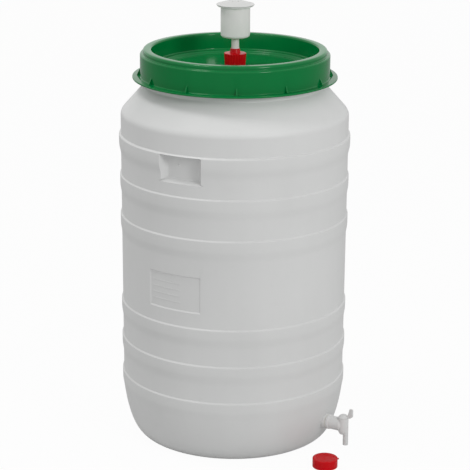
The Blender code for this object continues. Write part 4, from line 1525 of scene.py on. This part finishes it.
@dataclass
class Studio:
    """Pale floor, soft lamps, white surroundings and the camera."""

    floor_size: float = 40.0
    floor_colour: Colour = (0.68, 0.68, 0.68)
    floor_glow: float = 0.96
    floor_mirror: float = 0.05
    floor_roughness: float = 0.9
    floor_specular: float = 0.1
    world_strength: float = 0.60
    azimuth: float = math.radians(-58.5)
    camera_reach: float = 3.93
    camera_height: float = 1.6244
    camera_aside: float = 0.0021
    camera_pitch: float = math.radians(16.71)
    camera_roll: float = math.radians(0.364)
    camera_lens: float = 142.97
    sensor: float = 36.0
    lamp_aim: tuple[float, float, float] = (0.0, 0.0, 0.50)

    def bearing(self, turn_right: float, reach: float, height: float) -> Vector:
        """Place a point by its turn to the right of the camera.

        Args:
            turn_right: degrees to the right of the camera, seen from the barrel's axis.
            reach: distance from the axis.
            height: height over the floor.

        Returns:
            The point.
        """
        angle = self.azimuth + math.radians(turn_right)
        return Vector((math.sin(angle) * reach, -math.cos(angle) * reach, height))

    def seen(self, tree: Tree, mirror: float) -> Socket:
        """Make a factor for how far the camera, a reflection or a clear wall shows a surface as white.

        Args:
            tree: material or world that uses the factor.
            mirror: its value in a reflection.

        Returns:
            The factor, which is 1 for the camera.
        """
        path = tree.nodes.new("ShaderNodeLightPath").outputs
        straight = math_node(tree, "MAXIMUM", path["Is Camera Ray"], path["Is Transmission Ray"])
        return math_node(tree, "MULTIPLY_ADD", path["Is Glossy Ray"], mirror, straight)

    def floor(self) -> None:
        """Lay the floor, which shows almost white and keeps the object's shadow."""
        clear_selection()
        bpy.ops.mesh.primitive_plane_add(size=self.floor_size)
        floor = put(bpy.context.object, (0, 0, -FIT_GAP))
        floor.name = "studio_floor"
        made = bpy.data.materials.new("studio_floor_paint")
        made.use_nodes = True
        nodes, links = made.node_tree.nodes, made.node_tree.links
        paint = nodes["Principled BSDF"]
        paint.inputs["Base Color"].default_value = (*self.floor_colour, 1.0)
        paint.inputs["Roughness"].default_value = self.floor_roughness
        paint.inputs["Specular IOR Level"].default_value = self.floor_specular
        glow = nodes.new("ShaderNodeEmission")
        seen = self.seen(made.node_tree, self.floor_mirror)
        blend = nodes.new("ShaderNodeMixShader")
        links.new(math_node(made.node_tree, "MULTIPLY", seen, self.floor_glow), blend.inputs["Fac"])
        links.new(paint.outputs["BSDF"], blend.inputs[1])
        links.new(glow.outputs["Emission"], blend.inputs[2])
        links.new(blend.outputs["Shader"], nodes["Material Output"].inputs["Surface"])
        floor.data.materials.append(made)

    def surroundings(self) -> None:
        """Make the world white to the camera and softer as a light."""
        world = bpy.data.worlds.new("studio_world")
        bpy.context.scene.world = world
        world.use_nodes = True
        nodes, links = world.node_tree.nodes, world.node_tree.links
        glow = nodes["Background"]
        glow.inputs["Color"].default_value = (1.0, 1.0, 1.0, 1.0)
        seen = self.seen(world.node_tree, 1.0)
        strength = range_node(world.node_tree, seen, (0.0, 1.0), (self.world_strength, 1.0))
        links.new(strength, glow.inputs["Strength"])

    def hang(self, lamp: Lamp) -> None:
        """Hang one lamp that faces the barrel.

        Args:
            lamp: its name, place, size and power.
        """
        where = self.bearing(lamp.turn_right, lamp.reach, lamp.height)
        clear_selection()
        bpy.ops.object.light_add(type="AREA", location=where)
        item = bpy.context.object
        item.name = lamp.name
        item.data.shape = "SQUARE"
        item.data.size = lamp.size
        item.data.energy = lamp.power
        item.rotation_euler = (Vector(self.lamp_aim) - where).to_track_quat("-Z", "Y").to_euler()

    def camera(self) -> None:
        """Set up the camera at the photograph's viewing angle."""
        clear_selection()
        bpy.ops.object.camera_add()
        camera = bpy.context.object
        camera.name = "studio_camera"
        camera.data.lens = self.camera_lens
        camera.data.sensor_width = self.sensor
        right = Vector((math.cos(self.azimuth), math.sin(self.azimuth), 0))
        spot = self.bearing(0.0, self.camera_reach, self.camera_height) + right * self.camera_aside
        aim = Matrix.Rotation(self.azimuth, 4, "Z")
        tilt = Matrix.Rotation(math.pi / 2 - self.camera_pitch, 4, "X")
        camera.matrix_world = Matrix.Translation(spot) @ aim @ tilt @ Matrix.Rotation(self.camera_roll, 4, "Z")
        bpy.context.scene.camera = camera

    def build(self) -> None:
        """Set up the whole studio."""
        bpy.context.scene.view_settings.view_transform = "Standard"
        self.floor()
        self.surroundings()
        for lamp in LAMPS:
            self.hang(lamp)
        self.camera()


def main() -> None:
    """Load the frame, build and dress every sub-assembly, and set up the studio."""
    logging.basicConfig(level=logging.INFO, format="%(name)s: %(message)s")
    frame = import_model()
    BarrelShell().dress()
    ScrewLid().dress()
    AirlockCap().dress()
    Airlock().dress()
    DrawOffTap().dress()
    SpareCap().dress()
    SmallRings().dress(frame["nodes"])
    Studio().build()


if __name__ == "__main__":
    main()
